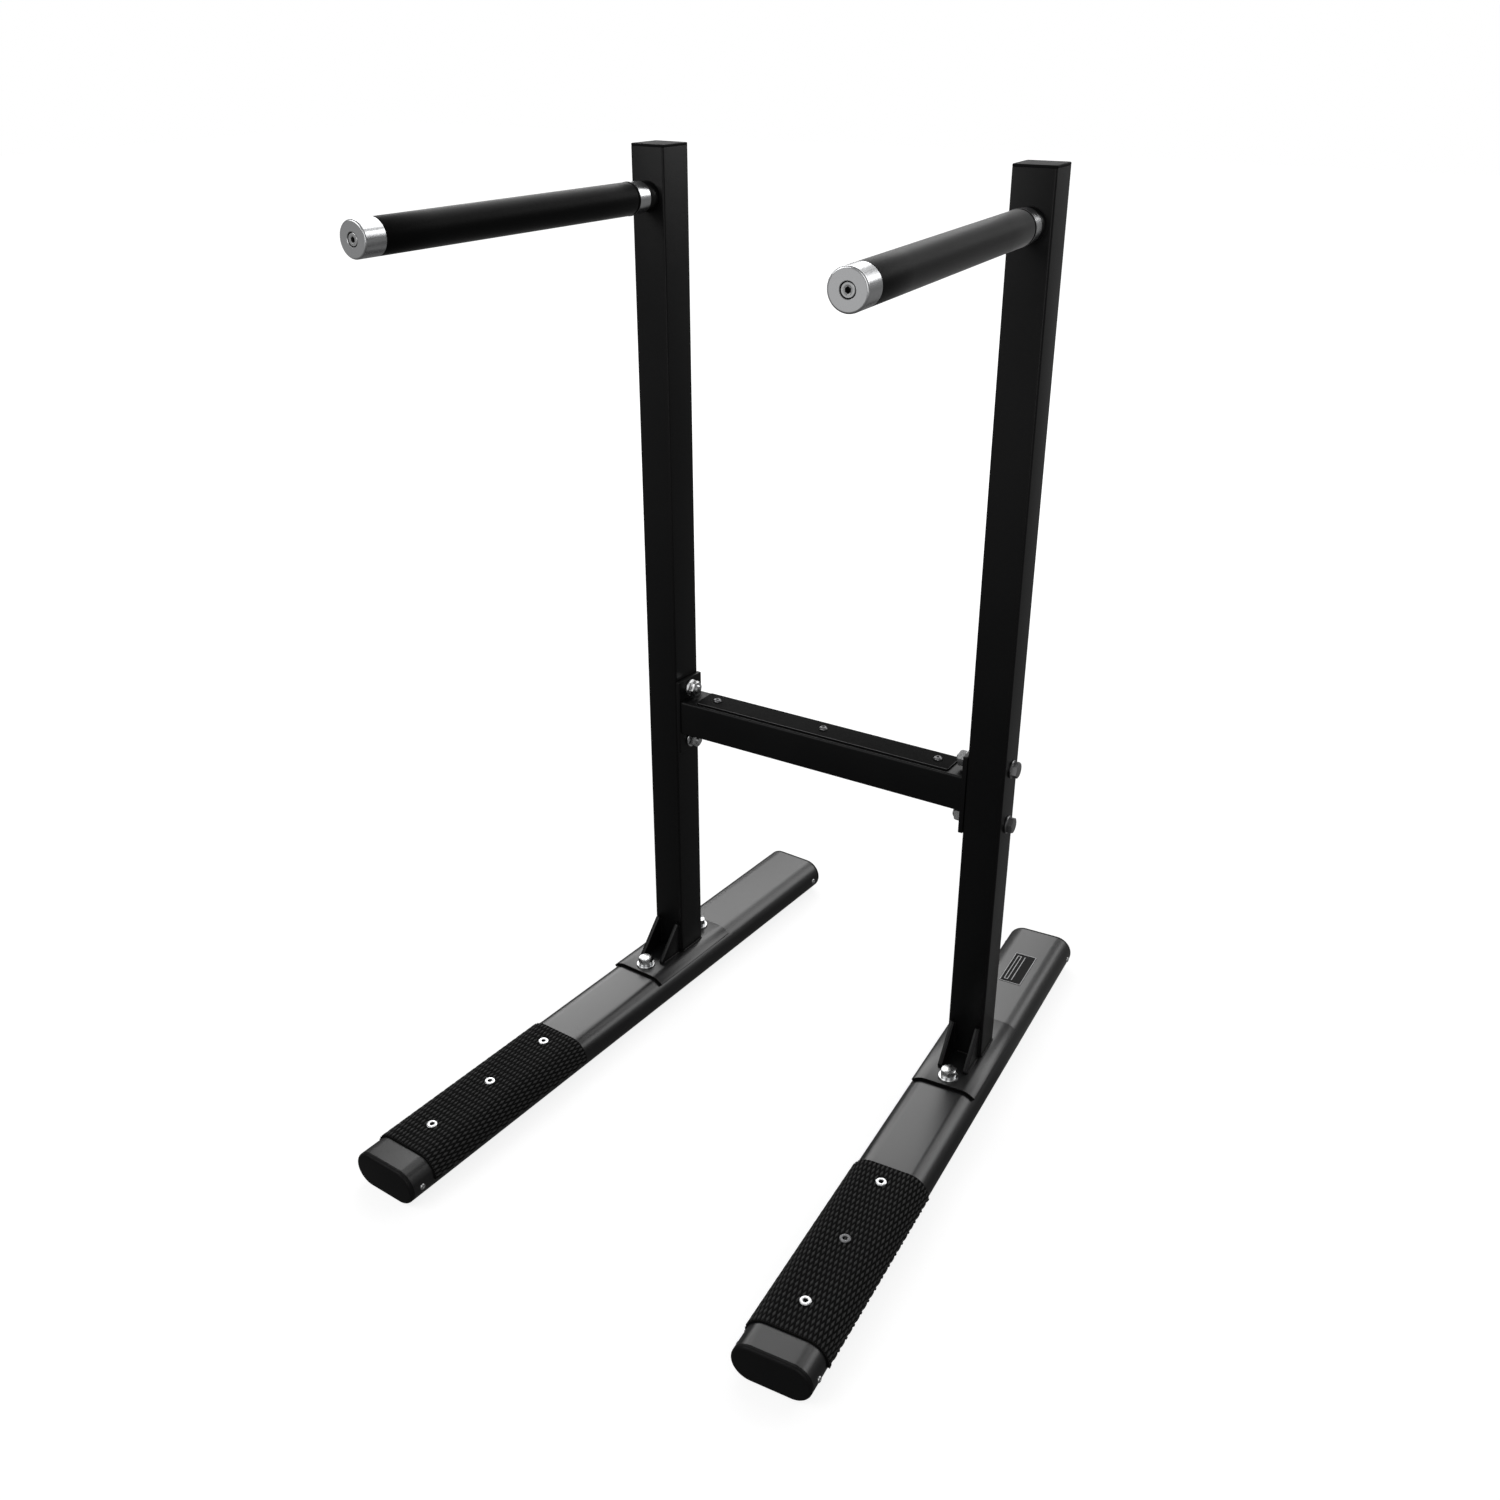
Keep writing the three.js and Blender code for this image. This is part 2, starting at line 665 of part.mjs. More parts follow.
// One side of the station: side is -1 on the left and 1 on the right.
function buildSide(side) {
  const prefix = side > 0 ? 'right' : 'left';
  const group = new THREE.Group();
  group.position.x = side * uprightSpacing / 2;
  group.rotation.z = side * splayAngle;

  group.add(piece(`${prefix}_base_beam`, baseBeam(), beamCoat));
  group.add(piece(`${prefix}_front_base_cap`, baseCap(), blackPlastic));
  const rearCap = piece(`${prefix}_rear_base_cap`, baseCap(), blackPlastic);
  rearCap.rotation.z = Math.PI;
  rearCap.position.y = beamRearReach - beamFrontReach;
  group.add(rearCap);

  group.add(piece(`${prefix}_foot_tread`, footTread(), treadRubber));
  treadScrews.forEach((forward, index) => {
    const solid = buttonScrew(
      treadScrewRadius, treadScrewHeadRadius, treadScrewHeadHeight, treadScrewSocket, treadScrewLength);
    const screw = piece(`${prefix}_tread_screw_${index + 1}`, solid, zincSteel);
    screw.position.set(0, -forward, treadTop);
    group.add(screw);
  });

  group.add(piece(`${prefix}_saddle_plate`, saddlePlate(), powderCoat));
  const gussetPlace = uprightHalf - gussetInset - gussetThickness / 2;
  group.add(piece(`${prefix}_outer_gusset`, gusset(side * gussetPlace), powderCoat));
  group.add(piece(`${prefix}_inner_gusset`, gusset(-side * gussetPlace), powderCoat));
  const stackHeight = washerThickness + springWasherThickness;
  saddleBolts.forEach((forward, index) => {
    const place = index === 0 ? 'front' : 'rear';
    const washers = piece(`${prefix}_${place}_base_washers`, washerSet(), zincSteel);
    washers.position.set(0, -forward, saddleTop);
    const bolt = piece(`${prefix}_${place}_base_bolt`, baseBolt(), zincSteel);
    bolt.position.set(0, -forward, saddleTop + stackHeight);
    group.add(washers, bolt);
  });

  group.add(piece(`${prefix}_upright`, upright(), powderCoat));
  group.add(piece(`${prefix}_upright_plug`, uprightPlug(), blackPlastic));
  group.add(piece(`${prefix}_handle_tube`, handleTube(), aluminium));
  group.add(piece(`${prefix}_handle_collar`, handleCollar(), powderCoat));
  group.add(piece(`${prefix}_grip_ferrule`, gripFerrule(), aluminium));
  group.add(piece(`${prefix}_grip`, grip(), gripRubber));
  group.add(piece(`${prefix}_grip_end_cap`, gripEndCap(), aluminium));
  group.add(piece(`${prefix}_end_cap_screw`, endCapScrew(), zincSteel));

  group.add(piece(`${prefix}_end_plate`, endPlate(side), powderCoat));
  crossBolts.forEach((height, index) => {
    const place = index === 0 ? 'upper' : 'lower';
    const bolt = piece(`${prefix}_${place}_cross_bolt`, crossBolt(), zincSteel);
    bolt.position.set(side * crossHeadSeat, 0, height);
    bolt.rotation.y = side * Math.PI / 2;
    const nut = piece(`${prefix}_${place}_cross_nut`, crossNut(), zincSteel);
    nut.position.set(-side * crossNutSeat, 0, height);
    nut.rotation.y = -side * Math.PI / 2;
    group.add(bolt, nut);
  });
  if (side > 0) group.add(piece('label_plate', labelPlate(), labelMetal));
  return group;
}

const frame = new THREE.Group();
frame.add(buildSide(-1), buildSide(1));
frame.add(piece('crossbar', crossbar(), powderCoat));
frame.add(piece('crossbar_top_plate', topPlate(), powderCoat));
topScrews.forEach((across, index) => {
  const solid = buttonScrew(
    topScrewRadius, topScrewHeadRadius, topScrewHeadHeight, topScrewSocket, topScrewLength);
  const screw = piece(`top_plate_screw_${index + 1}`, solid, zincSteel);
  screw.position.set(across, 0, crossbarTop + topPlateThickness);
  frame.add(screw);
});

// The footprint's middle goes to the origin.
frame.updateMatrixWorld(true);
const extent = new THREE.Box3().setFromObject(frame);
const middle = extent.getCenter(new THREE.Vector3());
frame.position.set(-middle.x, -middle.y, -extent.min.z);

const group = new THREE.Group();
group.add(frame);

export default group;
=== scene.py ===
# %% [markdown]
# # A dip station, dressed on its frame
# The CAD model of the station is loaded first. It holds every piece in its true place: metres,
# Z up, the handles pointing towards -Y and the origin on the floor under the middle. The CAD
# solids are built from flat facets, so each visible piece is modelled again here with rounder
# edges and finer detail, in the same place, and then gets its finish.

# %% Load the frame
import math
import bmesh
import bpy
from mathutils import Matrix, Vector


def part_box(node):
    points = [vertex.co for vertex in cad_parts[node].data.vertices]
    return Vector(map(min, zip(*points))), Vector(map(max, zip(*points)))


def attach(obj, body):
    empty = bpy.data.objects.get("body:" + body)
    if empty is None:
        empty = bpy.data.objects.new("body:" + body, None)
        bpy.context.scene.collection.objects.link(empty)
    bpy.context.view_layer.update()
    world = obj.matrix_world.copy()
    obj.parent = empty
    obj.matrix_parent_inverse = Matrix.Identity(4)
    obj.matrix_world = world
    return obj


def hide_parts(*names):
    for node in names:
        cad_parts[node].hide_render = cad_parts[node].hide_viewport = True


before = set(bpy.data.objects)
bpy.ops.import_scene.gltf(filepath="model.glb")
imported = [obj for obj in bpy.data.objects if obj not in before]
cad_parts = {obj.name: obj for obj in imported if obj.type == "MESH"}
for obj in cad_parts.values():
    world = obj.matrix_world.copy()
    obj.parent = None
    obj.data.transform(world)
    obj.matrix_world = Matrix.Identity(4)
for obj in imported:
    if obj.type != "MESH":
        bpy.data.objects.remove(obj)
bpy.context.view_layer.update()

print("CAD nodes:", len(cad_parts))

# %% [markdown]
# ## Sides and their own directions
# The station has a left and a right side that mirror each other. Each side turns out by 3.75
# degrees about the axis of its upright, so its pieces are easiest to model in a straight local
# frame: X across, -Y forward along the handle, Z up, with the upright's axis at X = Y = 0. A
# finished mesh is then turned and moved to its place in one step. Every object stays at the
# origin, unturned, which keeps Object coordinates true for the materials.

# %% Where each side stands
MM = 0.001
SPLAY = math.radians(3.75)


def upright_axis(side_name):
    low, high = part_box(f"{side_name}_upright")
    return Vector(((low.x + high.x) / 2, (low.y + high.y) / 2, 0))


SIDES = {"left": -1, "right": 1}
axis = {name: upright_axis(name) for name in SIDES}
to_world = {
    name: Matrix.Translation(axis[name]) @ Matrix.Rotation(sign * SPLAY, 4, "Z")
    for name, sign in SIDES.items()
}
crossbar_to_world = Matrix.Translation(Vector((0, axis["left"].y, 0)))
print("upright axes:", {name: tuple(round(v, 4) for v in place) for name, place in axis.items()})

# %% [markdown]
# ## Turning a bmesh into a finished piece
# Each piece is shaped as a bmesh, Blender's editable mesh, with operators only. `finish_piece`
# merges doubles, points the faces outwards, moves the mesh to its place and makes the object.
# Shading is smooth except across edges sharper than a limit, which is how a real machined edge
# reads. The piece then rides on the only body and takes the place of its CAD node. A few
# pieces have a second finish on the faces marked for it.

# %% The finishing helper
made_faces = {}


def new_mesh(name, bm):
    """Hands a bmesh over to a mesh and lets the bmesh go."""
    mesh = bpy.data.meshes.new(name)
    bm.to_mesh(mesh)
    bm.free()
    return mesh


def new_object(name, data):
    thing = bpy.data.objects.new(name, data)
    bpy.context.scene.collection.objects.link(thing)
    return thing


def finish_piece(bm, name, place, material, slot, node=None, sharp=35, doubles=1e-6, second=None):
    bmesh.ops.remove_doubles(bm, verts=bm.verts, dist=doubles)
    bmesh.ops.recalc_face_normals(bm, faces=bm.faces)
    bmesh.ops.transform(bm, matrix=place, verts=bm.verts)
    mesh = new_mesh(name, bm)
    mesh.shade_smooth()
    mesh.set_sharp_from_angle(angle=math.radians(sharp))
    mesh.materials.append(material)
    piece = new_object(name, mesh)
    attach(piece, "root")
    if node:
        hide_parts(node)
    if second:
        mesh.materials.append(second)
    made_faces[name] = len(mesh.polygons)


# %% [markdown]
# ## Small modelling moves
# A few moves come back in many pieces: a block with rounded edges, a rim that is eased, a profile
# spun round an axis, and a quarter or smaller turn. Each is a thin wrapper round bmesh operators.

# %% Blocks and turned shapes
MERGE = 1e-7
VERT, EDGE, FACE = bmesh.types.BMVert, bmesh.types.BMEdge, bmesh.types.BMFace


def block(size, centre):
    bm = bmesh.new()
    bmesh.ops.create_cube(bm, size=1)
    bmesh.ops.scale(bm, vec=Vector(size), verts=bm.verts)
    bmesh.ops.translate(bm, vec=Vector(centre), verts=bm.verts)
    return bm


def round_edges(bm, edges, radius, segments=3):
    bmesh.ops.bevel(bm, geom=edges, offset=radius, offset_type="OFFSET", affect="EDGES",
                    segments=segments, profile=0.5, material=-1)


def round_rim(bm, on_face, radius, segments=3):
    """Rounds all edges of the faces that pass a test."""
    bm.normal_update()
    rim = [edge for edge in bm.edges if any(on_face(face) for face in edge.link_faces)]
    round_edges(bm, rim, radius, segments)
    bm.normal_update()


def bar(size, centre, along, corner, segments):
    """A block whose long edges, those along a direction, are rounded."""
    bm = block(size, centre)
    long_edges = [edge for edge in bm.edges
                  if abs((edge.verts[1].co - edge.verts[0].co).normalized().dot(Vector(along))) > 0.999]
    round_edges(bm, long_edges, corner, segments)
    return bm


def second_finish(bm, test):
    """Marks the faces that pass a test for the piece's second finish."""
    for face in bm.faces:
        face.material_index = int(test(face))
    return bm


def open_edges(bm):
    return [edge for edge in bm.edges if edge.is_boundary]


def made(result, kind):
    """The points, edges or faces that an operator has just made."""
    return [item for item in result["geom"] if isinstance(item, kind)]


def turned(profile, steps=64):
    """Spins a profile of (radius, height) points about Z."""
    bm = bmesh.new()
    points = [bm.verts.new((radius, 0, height)) for radius, height in profile]
    rim = [bm.edges.new(pair) for pair in zip(points, points[1:])]
    bmesh.ops.spin(bm, geom=points + rim, cent=(0, 0, 0), axis=(0, 0, 1), dvec=(0, 0, 0),
                   angle=2 * math.pi, steps=steps, use_merge=True, use_duplicate=False)
    bmesh.ops.remove_doubles(bm, verts=bm.verts, dist=MERGE)
    bmesh.ops.dissolve_degenerate(bm, dist=MERGE, edges=bm.edges)
    return bm


FORWARD = Matrix.Rotation(math.pi / 2, 4, "X")


def twisted(degrees):
    """A turn about the piece's own upright axis."""
    return Matrix.Rotation(math.radians(degrees), 4, "Z")


def sideways(sign):
    """Lays an upright piece down, with its top towards +X or -X."""
    return Matrix.Rotation(sign * math.pi / 2, 4, "Y")


def joined(target, *others):
    """Adds the meshes of other bmeshes to the first."""
    for other in others:
        carrier = new_mesh("carrier", other)
        target.from_mesh(carrier)
        bpy.data.meshes.remove(carrier)
    return target


def moved(bm, matrix):
    bmesh.ops.transform(bm, matrix=matrix, verts=bm.verts)
    return bm


# %% [markdown]
# ## Effects that several finishes share
# Real coatings are never perfectly even. Three effects come back in almost every finish here: a
# fine grain such as orange peel or moulded texture, soft large patches where light catches the
# surface a little differently, and the fine rings that a lathe leaves on turned metal. Each is
# a node group, built once, that puts out masks and heights only. Every finish places two of
# them, with values of its own.

# %% Node group helpers
def feed(tree, node, inputs):
    """Fills a node's inputs, each with a plain value or with another node's output."""
    for label, value in inputs.items():
        if isinstance(value, bpy.types.NodeSocket):
            tree.links.new(value, node.inputs[label])
        else:
            node.inputs[label].default_value = value


def add_node(tree, kind, inputs, **settings):
    """Adds a node, fills its inputs and returns its outputs."""
    node = tree.nodes.new(f"ShaderNode{kind}")
    for label, setting in settings.items():
        setattr(node, label, setting)
    feed(tree, node, inputs)
    return node.outputs


def new_group(name, scale, default):
    """Starts a node group that is told a place and one scale."""
    group = bpy.data.node_groups.new(name, "ShaderNodeTree")
    group.interface.new_socket(name="Vector", in_out="INPUT", socket_type="NodeSocketVector")
    socket = group.interface.new_socket(name=scale, in_out="INPUT", socket_type="NodeSocketFloat")
    socket.default_value = default
    return group, group.nodes.new("NodeGroupInput").outputs


def put_out(group, **results):
    """Ends a node group: each result becomes an output of that name."""
    for label in results:
        group.interface.new_socket(name=label, in_out="OUTPUT", socket_type="NodeSocketFloat")
    feed(group, group.nodes.new("NodeGroupOutput"), results)


def maths(tree, operation, *values):
    return add_node(tree, "Math", dict(enumerate(values)), operation=operation)[0]


def vector_maths(tree, operation, *values):
    return add_node(tree, "VectorMath", dict(enumerate(values)), operation=operation)


def ranged(tree, value, low, high, to_low, to_high):
    return add_node(tree, "MapRange", {"Value": value, "From Min": low, "From Max": high,
                                       "To Min": to_low, "To Max": to_high})[0]


def mixed(tree, factor, first, second):
    return add_node(tree, "Mix", {"Factor": factor, "A": first, "B": second}, data_type="RGBA")["Result"]


# %% Fine grain, soft patches and turning marks
grain, own = new_group("fine_grain", "Scale", 900.0)
coarse = add_node(grain, "TexNoise", {"Vector": own["Vector"], "Scale": own["Scale"],
                                      "Detail": 3.0, "Roughness": 0.55})[0]
pits = add_node(grain, "TexVoronoi", {"Vector": own["Vector"],
                                      "Scale": maths(grain, "MULTIPLY", own["Scale"], 1.7)})["Distance"]
put_out(grain, Height=maths(grain, "MULTIPLY_ADD", pits, 0.35, coarse),
        Mask=ranged(grain, coarse, 0.35, 0.65, 0, 1))

patches, own = new_group("soft_patches", "Scale", 9.0)
cloud = add_node(patches, "TexNoise", {"Vector": own["Vector"], "Scale": own["Scale"],
                                       "Detail": 4.0, "Distortion": 0.4})[0]
dust = add_node(patches, "TexVoronoi", {"Vector": own["Vector"],
                                        "Scale": maths(patches, "MULTIPLY", own["Scale"], 14)})["Distance"]
put_out(patches, Mask=ranged(patches, cloud, 0.3, 0.7, 0, 1), Specks=ranged(patches, dust, 0.02, 0.06, 1, 0))

rings, own = new_group("turning_marks", "Marks per mm", 4.0)
track = add_node(rings, "VectorMath", {0: own["Vector"], "Scale": own["Marks per mm"]}, operation="SCALE")[0]
tooling = add_node(rings, "TexNoise", {"Vector": track, "Scale": 1.0, "Detail": 5.0, "Roughness": 0.7})[0]
put_out(rings, Height=tooling, Mask=ranged(rings, tooling, 0.3, 0.7, 0, 1))
print("effects:", [group.name for group in bpy.data.node_groups])


# %% [markdown]
# ## The finishes
# The whole station is black and bright metal, so the finishes are told apart by how they throw
# light back. `finish` builds one: a base colour that two masks shift slightly, a roughness that
# follows the same masks, and a bump. Values that are the same all over a surface sit
# directly on the Principled shader.

# %% The finish builder
SPECK_COLOUR = (0.16, 0.16, 0.165, 1)
RECESS_ROUGHER = 0.3
SHEEN_SPREAD = 0.3


def finish(name, colour, second, roughness, metallic=0.0, specular=0.5, grain_scale=900.0,
           depth=0.00004, patch_scale=9.0, patch_share=0.5, ring_marks=None, speck_share=0.0,
           recess_shade=None, sheen=0.0):
    material = bpy.data.materials.new(f"{name}_finish")
    material.use_nodes = True
    tree = material.node_tree
    place = add_node(tree, "TexCoord", {})["Object"]

    broad = add_node(tree, "Group", {"Vector": place, "Scale": patch_scale}, node_tree=patches)
    if ring_marks:
        unrolled = add_node(tree, "UVMap", {}, uv_map="turning")[0]
        fine = add_node(tree, "Group", {"Vector": unrolled, "Marks per mm": ring_marks}, node_tree=rings)
    else:
        fine = add_node(tree, "Group", {"Vector": place, "Scale": grain_scale}, node_tree=grain)

    blend = maths(tree, "MULTIPLY_ADD", broad["Mask"], patch_share,
                  maths(tree, "MULTIPLY", fine["Mask"], 1 - patch_share))
    surface = mixed(tree, blend, (*colour, 1), (*second, 1))
    if speck_share:
        surface = mixed(tree, maths(tree, "MULTIPLY", broad["Specks"], speck_share), surface, SPECK_COLOUR)
    rough = ranged(tree, blend, 0, 1, *roughness)
    # Where the mesh's raised value is low, the colour is painted shade for grooves and sockets, and the
    # surface is rougher.
    if recess_shade:
        raised = add_node(tree, "Attribute", {}, attribute_name="raised")["Fac"]
        surface = mixed(tree, raised, (*recess_shade, 1), surface)
        rough = maths(tree, "ADD", rough, ranged(tree, raised, 0, 1, RECESS_ROUGHER, 0))
    bump = add_node(tree, "Bump", {"Distance": depth, "Height": fine["Height"]})[0]
    feed(tree, tree.nodes["Principled BSDF"], {
        "Base Color": surface, "Roughness": rough, "Normal": bump, "Metallic": metallic,
        "Specular IOR Level": specular, "Sheen Weight": sheen, "Sheen Roughness": SHEEN_SPREAD})
    return material


# %% [markdown]
# ### Coatings
# The uprights, the crossbar and the plates have a satin powder coat, with a very fine orange
# peel. The base beams look smoother and throw more of the room back from their flat tops. The
# caps and plugs are moulded plastic. The plate on the crossbar is matt, with edges that use has
# rubbed to a shine, and the blank label has a dark face with pale lines.

# %% Coated steel and plastic
powder_coat = finish("powder_coat", (0.0034, 0.0034, 0.0036), (0.0052, 0.0052, 0.0054), (0.32, 0.40),
                     specular=0.2, grain_scale=1100, depth=0.00003, speck_share=0.1)
beam_coat = finish("beam_coat", (0.004, 0.004, 0.0042), (0.0065, 0.0065, 0.0068), (0.27, 0.34),
                   specular=0.8, grain_scale=700, depth=0.00002, patch_scale=6, speck_share=0.15)
cap_plastic = finish("cap_plastic", (0.006, 0.006, 0.0062), (0.009, 0.009, 0.0093), (0.34, 0.42),
                     specular=0.12, grain_scale=1600, depth=0.00003)
plug_plastic = finish("plug_plastic", (0.0045, 0.0045, 0.0046), (0.0065, 0.0065, 0.0067), (0.5, 0.6),
                      specular=0.06, grain_scale=1400, depth=0.00005)
matt_pad = finish("matt_pad", (0.0036, 0.0036, 0.0036), (0.006, 0.006, 0.006), (0.55, 0.68),
                  specular=0.03, grain_scale=1300, depth=0.00005, patch_scale=20)
rubbed_coat = finish("rubbed_coat", (0.010, 0.010, 0.0102), (0.02, 0.02, 0.0205), (0.28, 0.36),
                     specular=0.9, grain_scale=1100, depth=0.00002, patch_scale=20)
label_face = finish("label_face", (0.004, 0.004, 0.004), (0.006, 0.006, 0.006), (0.5, 0.6),
                    specular=0.12, grain_scale=1500, depth=0.00002)
label_rim = finish("label_rim", (0.46, 0.46, 0.47), (0.54, 0.54, 0.55), (0.4, 0.5),
                   specular=0.3, grain_scale=1500, depth=0.00002)

# %% [markdown]
# ### Rubber
# The treads are matt, nearly black rubber. The grips are a smoother rubber, and their sheen is
# the dusty bloom that such rubber shows where the eye meets it at a slant. The right grip points
# more towards the camera than the left one, so it looks paler.

# %% Tread and grip rubber
# The recess colour of the tread is painted shade in the grooves between the lozenges.
tread_rubber = finish("tread_rubber", (0.032, 0.032, 0.032), (0.048, 0.048, 0.048), (0.55, 0.68),
                      specular=0.1, grain_scale=1300, depth=0.00006, recess_shade=(0.0045, 0.0045, 0.0045))
grip_rubber = finish("grip_rubber", (0.0012, 0.0012, 0.0012), (0.0020, 0.0020, 0.0021), (0.38, 0.46),
                     specular=0.05, grain_scale=1500, depth=0.00003, patch_scale=14, sheen=0.38)

# %% [markdown]
# ### Bright metal
# The ends of the handles are turned aluminium, so their marks run round the axis. They follow a
# UV map that holds each point's distance from the axis and along it. The fasteners are zinc
# plated. Some have kept their shine, the bolt heads outside the uprights are worn, and the
# screws on the crossbar and one on the right tread have gone dull.

# %% Aluminium and zinc
# RECESS_SHADE is painted shade: a near-black colour put in screw sockets and in the end caps' countersinks.
RECESS_SHADE = (0.012, 0.012, 0.012)
aluminium = finish("aluminium", (0.64, 0.645, 0.655), (0.72, 0.725, 0.735), (0.22, 0.28), metallic=1.0,
                   ring_marks=5.0, depth=0.000006, patch_share=0.3, recess_shade=RECESS_SHADE)
plated = {"metallic": 1.0, "grain_scale": 1800, "depth": 0.00003, "patch_scale": 60, "recess_shade": RECESS_SHADE}
zinc = finish("zinc", (0.60, 0.61, 0.62), (0.80, 0.80, 0.80), (0.18, 0.32), **plated)
dull_zinc = finish("dull_zinc", (0.14, 0.14, 0.145), (0.22, 0.22, 0.225), (0.30, 0.42), **plated)
worn_zinc = finish("worn_zinc", (0.28, 0.28, 0.285), (0.42, 0.42, 0.425), (0.24, 0.36), **plated)
print("finishes:", [item.name for item in bpy.data.materials if item.name.endswith("_finish")])

# %% [markdown]
# ## Base beams
# Each beam is a flat-oval steel tube. It starts as a block whose four long edges are rounded
# until its sides are half circles. The end faces are then taken off and the skin is
# given the thickness of the wall. It stands straight in the local frame, in millimetres.

# %% Sizes of the base
BEAM_WIDTH, BEAM_HEIGHT, BEAM_WALL = 100, 50, 2.5
BEAM_FRONT, BEAM_REAR = 610.9, -323.9
CAP_DEPTH, FIT = 6, 0.3
side_place = {name: to_world[name] @ Matrix.Scale(MM, 4) for name in SIDES}


def side_piece(bm, side, title, material, slot, node=None, **options):
    """Finishes a piece of one side. Its name and its node's name both start with the side's."""
    finish_piece(bm, f"{side}_{title}", side_place[side], material, slot,
                 node and f"{side}_{node}", **options)


def oval_bar(front, rear, grow=0.0, segments=16):
    """A flat-oval bar that runs from rear to front, larger all round by grow."""
    height = BEAM_HEIGHT + 2 * grow
    bm = bar((BEAM_WIDTH + 2 * grow, front - rear, height), (0, -(front + rear) / 2, BEAM_HEIGHT / 2),
             (0, 1, 0), height / 2 - 0.001, segments)
    bmesh.ops.remove_doubles(bm, verts=bm.verts, dist=0.01)
    return bm


def drop_faces(bm, test):
    bmesh.ops.delete(bm, geom=[face for face in bm.faces if test(face)], context="FACES")


def is_end(face):
    return abs(face.normal.y) > 0.9


# %% The beams
for name in SIDES:
    bm = oval_bar(BEAM_FRONT - CAP_DEPTH - FIT, BEAM_REAR + CAP_DEPTH + FIT)
    bm.normal_update()
    drop_faces(bm, is_end)
    bmesh.ops.recalc_face_normals(bm, faces=bm.faces)
    bmesh.ops.solidify(bm, geom=bm.faces[:], thickness=BEAM_WALL)
    side_piece(bm, name, "beam_tube", beam_coat, "beam_coat", "base_beam")
print("beam faces:", made_faces["left_beam_tube"])

# %% [markdown]
# ## End caps
# A cap is a short slice of the same oval. Its outer rim is rounded over, which gives the thin
# bright line that runs round the front of each base. A narrower skirt behind it reaches into
# the tube.

# %% The end caps
CAP_RIM, CAP_SKIRT = 4.2, 28


def with_skirt(bm, on_face, inset, run):
    """Insets the faces that pass a test, and draws their middle out as an open skirt."""
    inner = [face for face in bm.faces if on_face(face)]
    bmesh.ops.inset_region(bm, faces=inner, thickness=inset, use_even_offset=True)
    skirt = bmesh.ops.extrude_face_region(bm, geom=inner)
    bmesh.ops.delete(bm, geom=inner, context="FACES")
    bmesh.ops.translate(bm, vec=run, verts=made(skirt, VERT))
    return bm


def end_cap():
    bm = oval_bar(BEAM_FRONT, BEAM_FRONT - CAP_DEPTH, segments=20)
    round_rim(bm, lambda face: face.normal.y < -0.9, CAP_RIM, 6)
    return with_skirt(bm, lambda face: face.normal.y > 0.9, BEAM_WALL + FIT, (0, CAP_SKIRT, 0))


turned_round = Matrix.Translation((0, -(BEAM_FRONT + BEAM_REAR), 0)) @ Matrix.Rotation(math.pi, 4, "Z")
for name in SIDES:
    side_piece(end_cap(), name, "front_cap", cap_plastic, "cap_plastic", "front_base_cap", sharp=50)
    side_piece(moved(end_cap(), turned_round), name, "rear_cap", cap_plastic, "cap_plastic",
               "rear_base_cap", sharp=50)
print("cap faces:", made_faces["left_front_cap"])

# %% [markdown]
# ## Foot treads
# The rubber is embossed with long narrow lozenges in staggered rows, about 5.8 mm across and
# 20 mm along the beam. A flat grid turned by 45 degrees and stretched gives the lozenges. It
# is trimmed to the size of the sheet and given its thickness. Every lozenge is then inset
# three times and raised in the middle, and the sheet is bent over the beam at the end. The
# finish reads how far a point is raised and paints the grooves darker, as painted shade.

# %% The tread sheet, flat
TREAD_FRONT, TREAD_REAR, TREAD_THICK = 571, 280, 3.0
TREAD_ANGLE = math.radians(95)
LOZENGE_ACROSS, LOZENGE_ALONG = 5.8, 20.0
GRID_CELLS = 56
RELIEF = 1.4
# The last column is how far a point is raised; the finish paints shade where it is low.
RISING_STEPS = ((0.75, 0.0, 0.0), (0.70, 0.8, 0.8), (0.45, 0.2, 1.0))  # inset, share of rise, mask
OUTER_RADIUS = BEAM_HEIGHT / 2 + FIT + TREAD_THICK
FLAT_HALF = BEAM_WIDTH / 2 - BEAM_HEIGHT / 2


def trimmed(bm, point, direction):
    bmesh.ops.bisect_plane(bm, geom=bm.verts[:] + bm.edges[:] + bm.faces[:], dist=0.0001,
                           plane_co=point, plane_no=direction, clear_outer=True)


def flat_tread():
    half_width = FLAT_HALF + OUTER_RADIUS * TREAD_ANGLE
    half_length = (TREAD_FRONT - TREAD_REAR) / 2
    bm = bmesh.new()
    bmesh.ops.create_grid(bm, x_segments=GRID_CELLS, y_segments=GRID_CELLS, size=GRID_CELLS / 2)
    bmesh.ops.rotate(bm, cent=(0, 0, 0), matrix=Matrix.Rotation(math.pi / 4, 3, "Z"), verts=bm.verts)
    stretch = (LOZENGE_ACROSS / math.sqrt(2), LOZENGE_ALONG / math.sqrt(2), 1)
    bmesh.ops.scale(bm, vec=stretch, verts=bm.verts)
    for x, y in ((1, 0), (-1, 0), (0, 1), (0, -1)):
        trimmed(bm, (x * half_width, y * half_length, 0), (x, y, 0))
    return bm


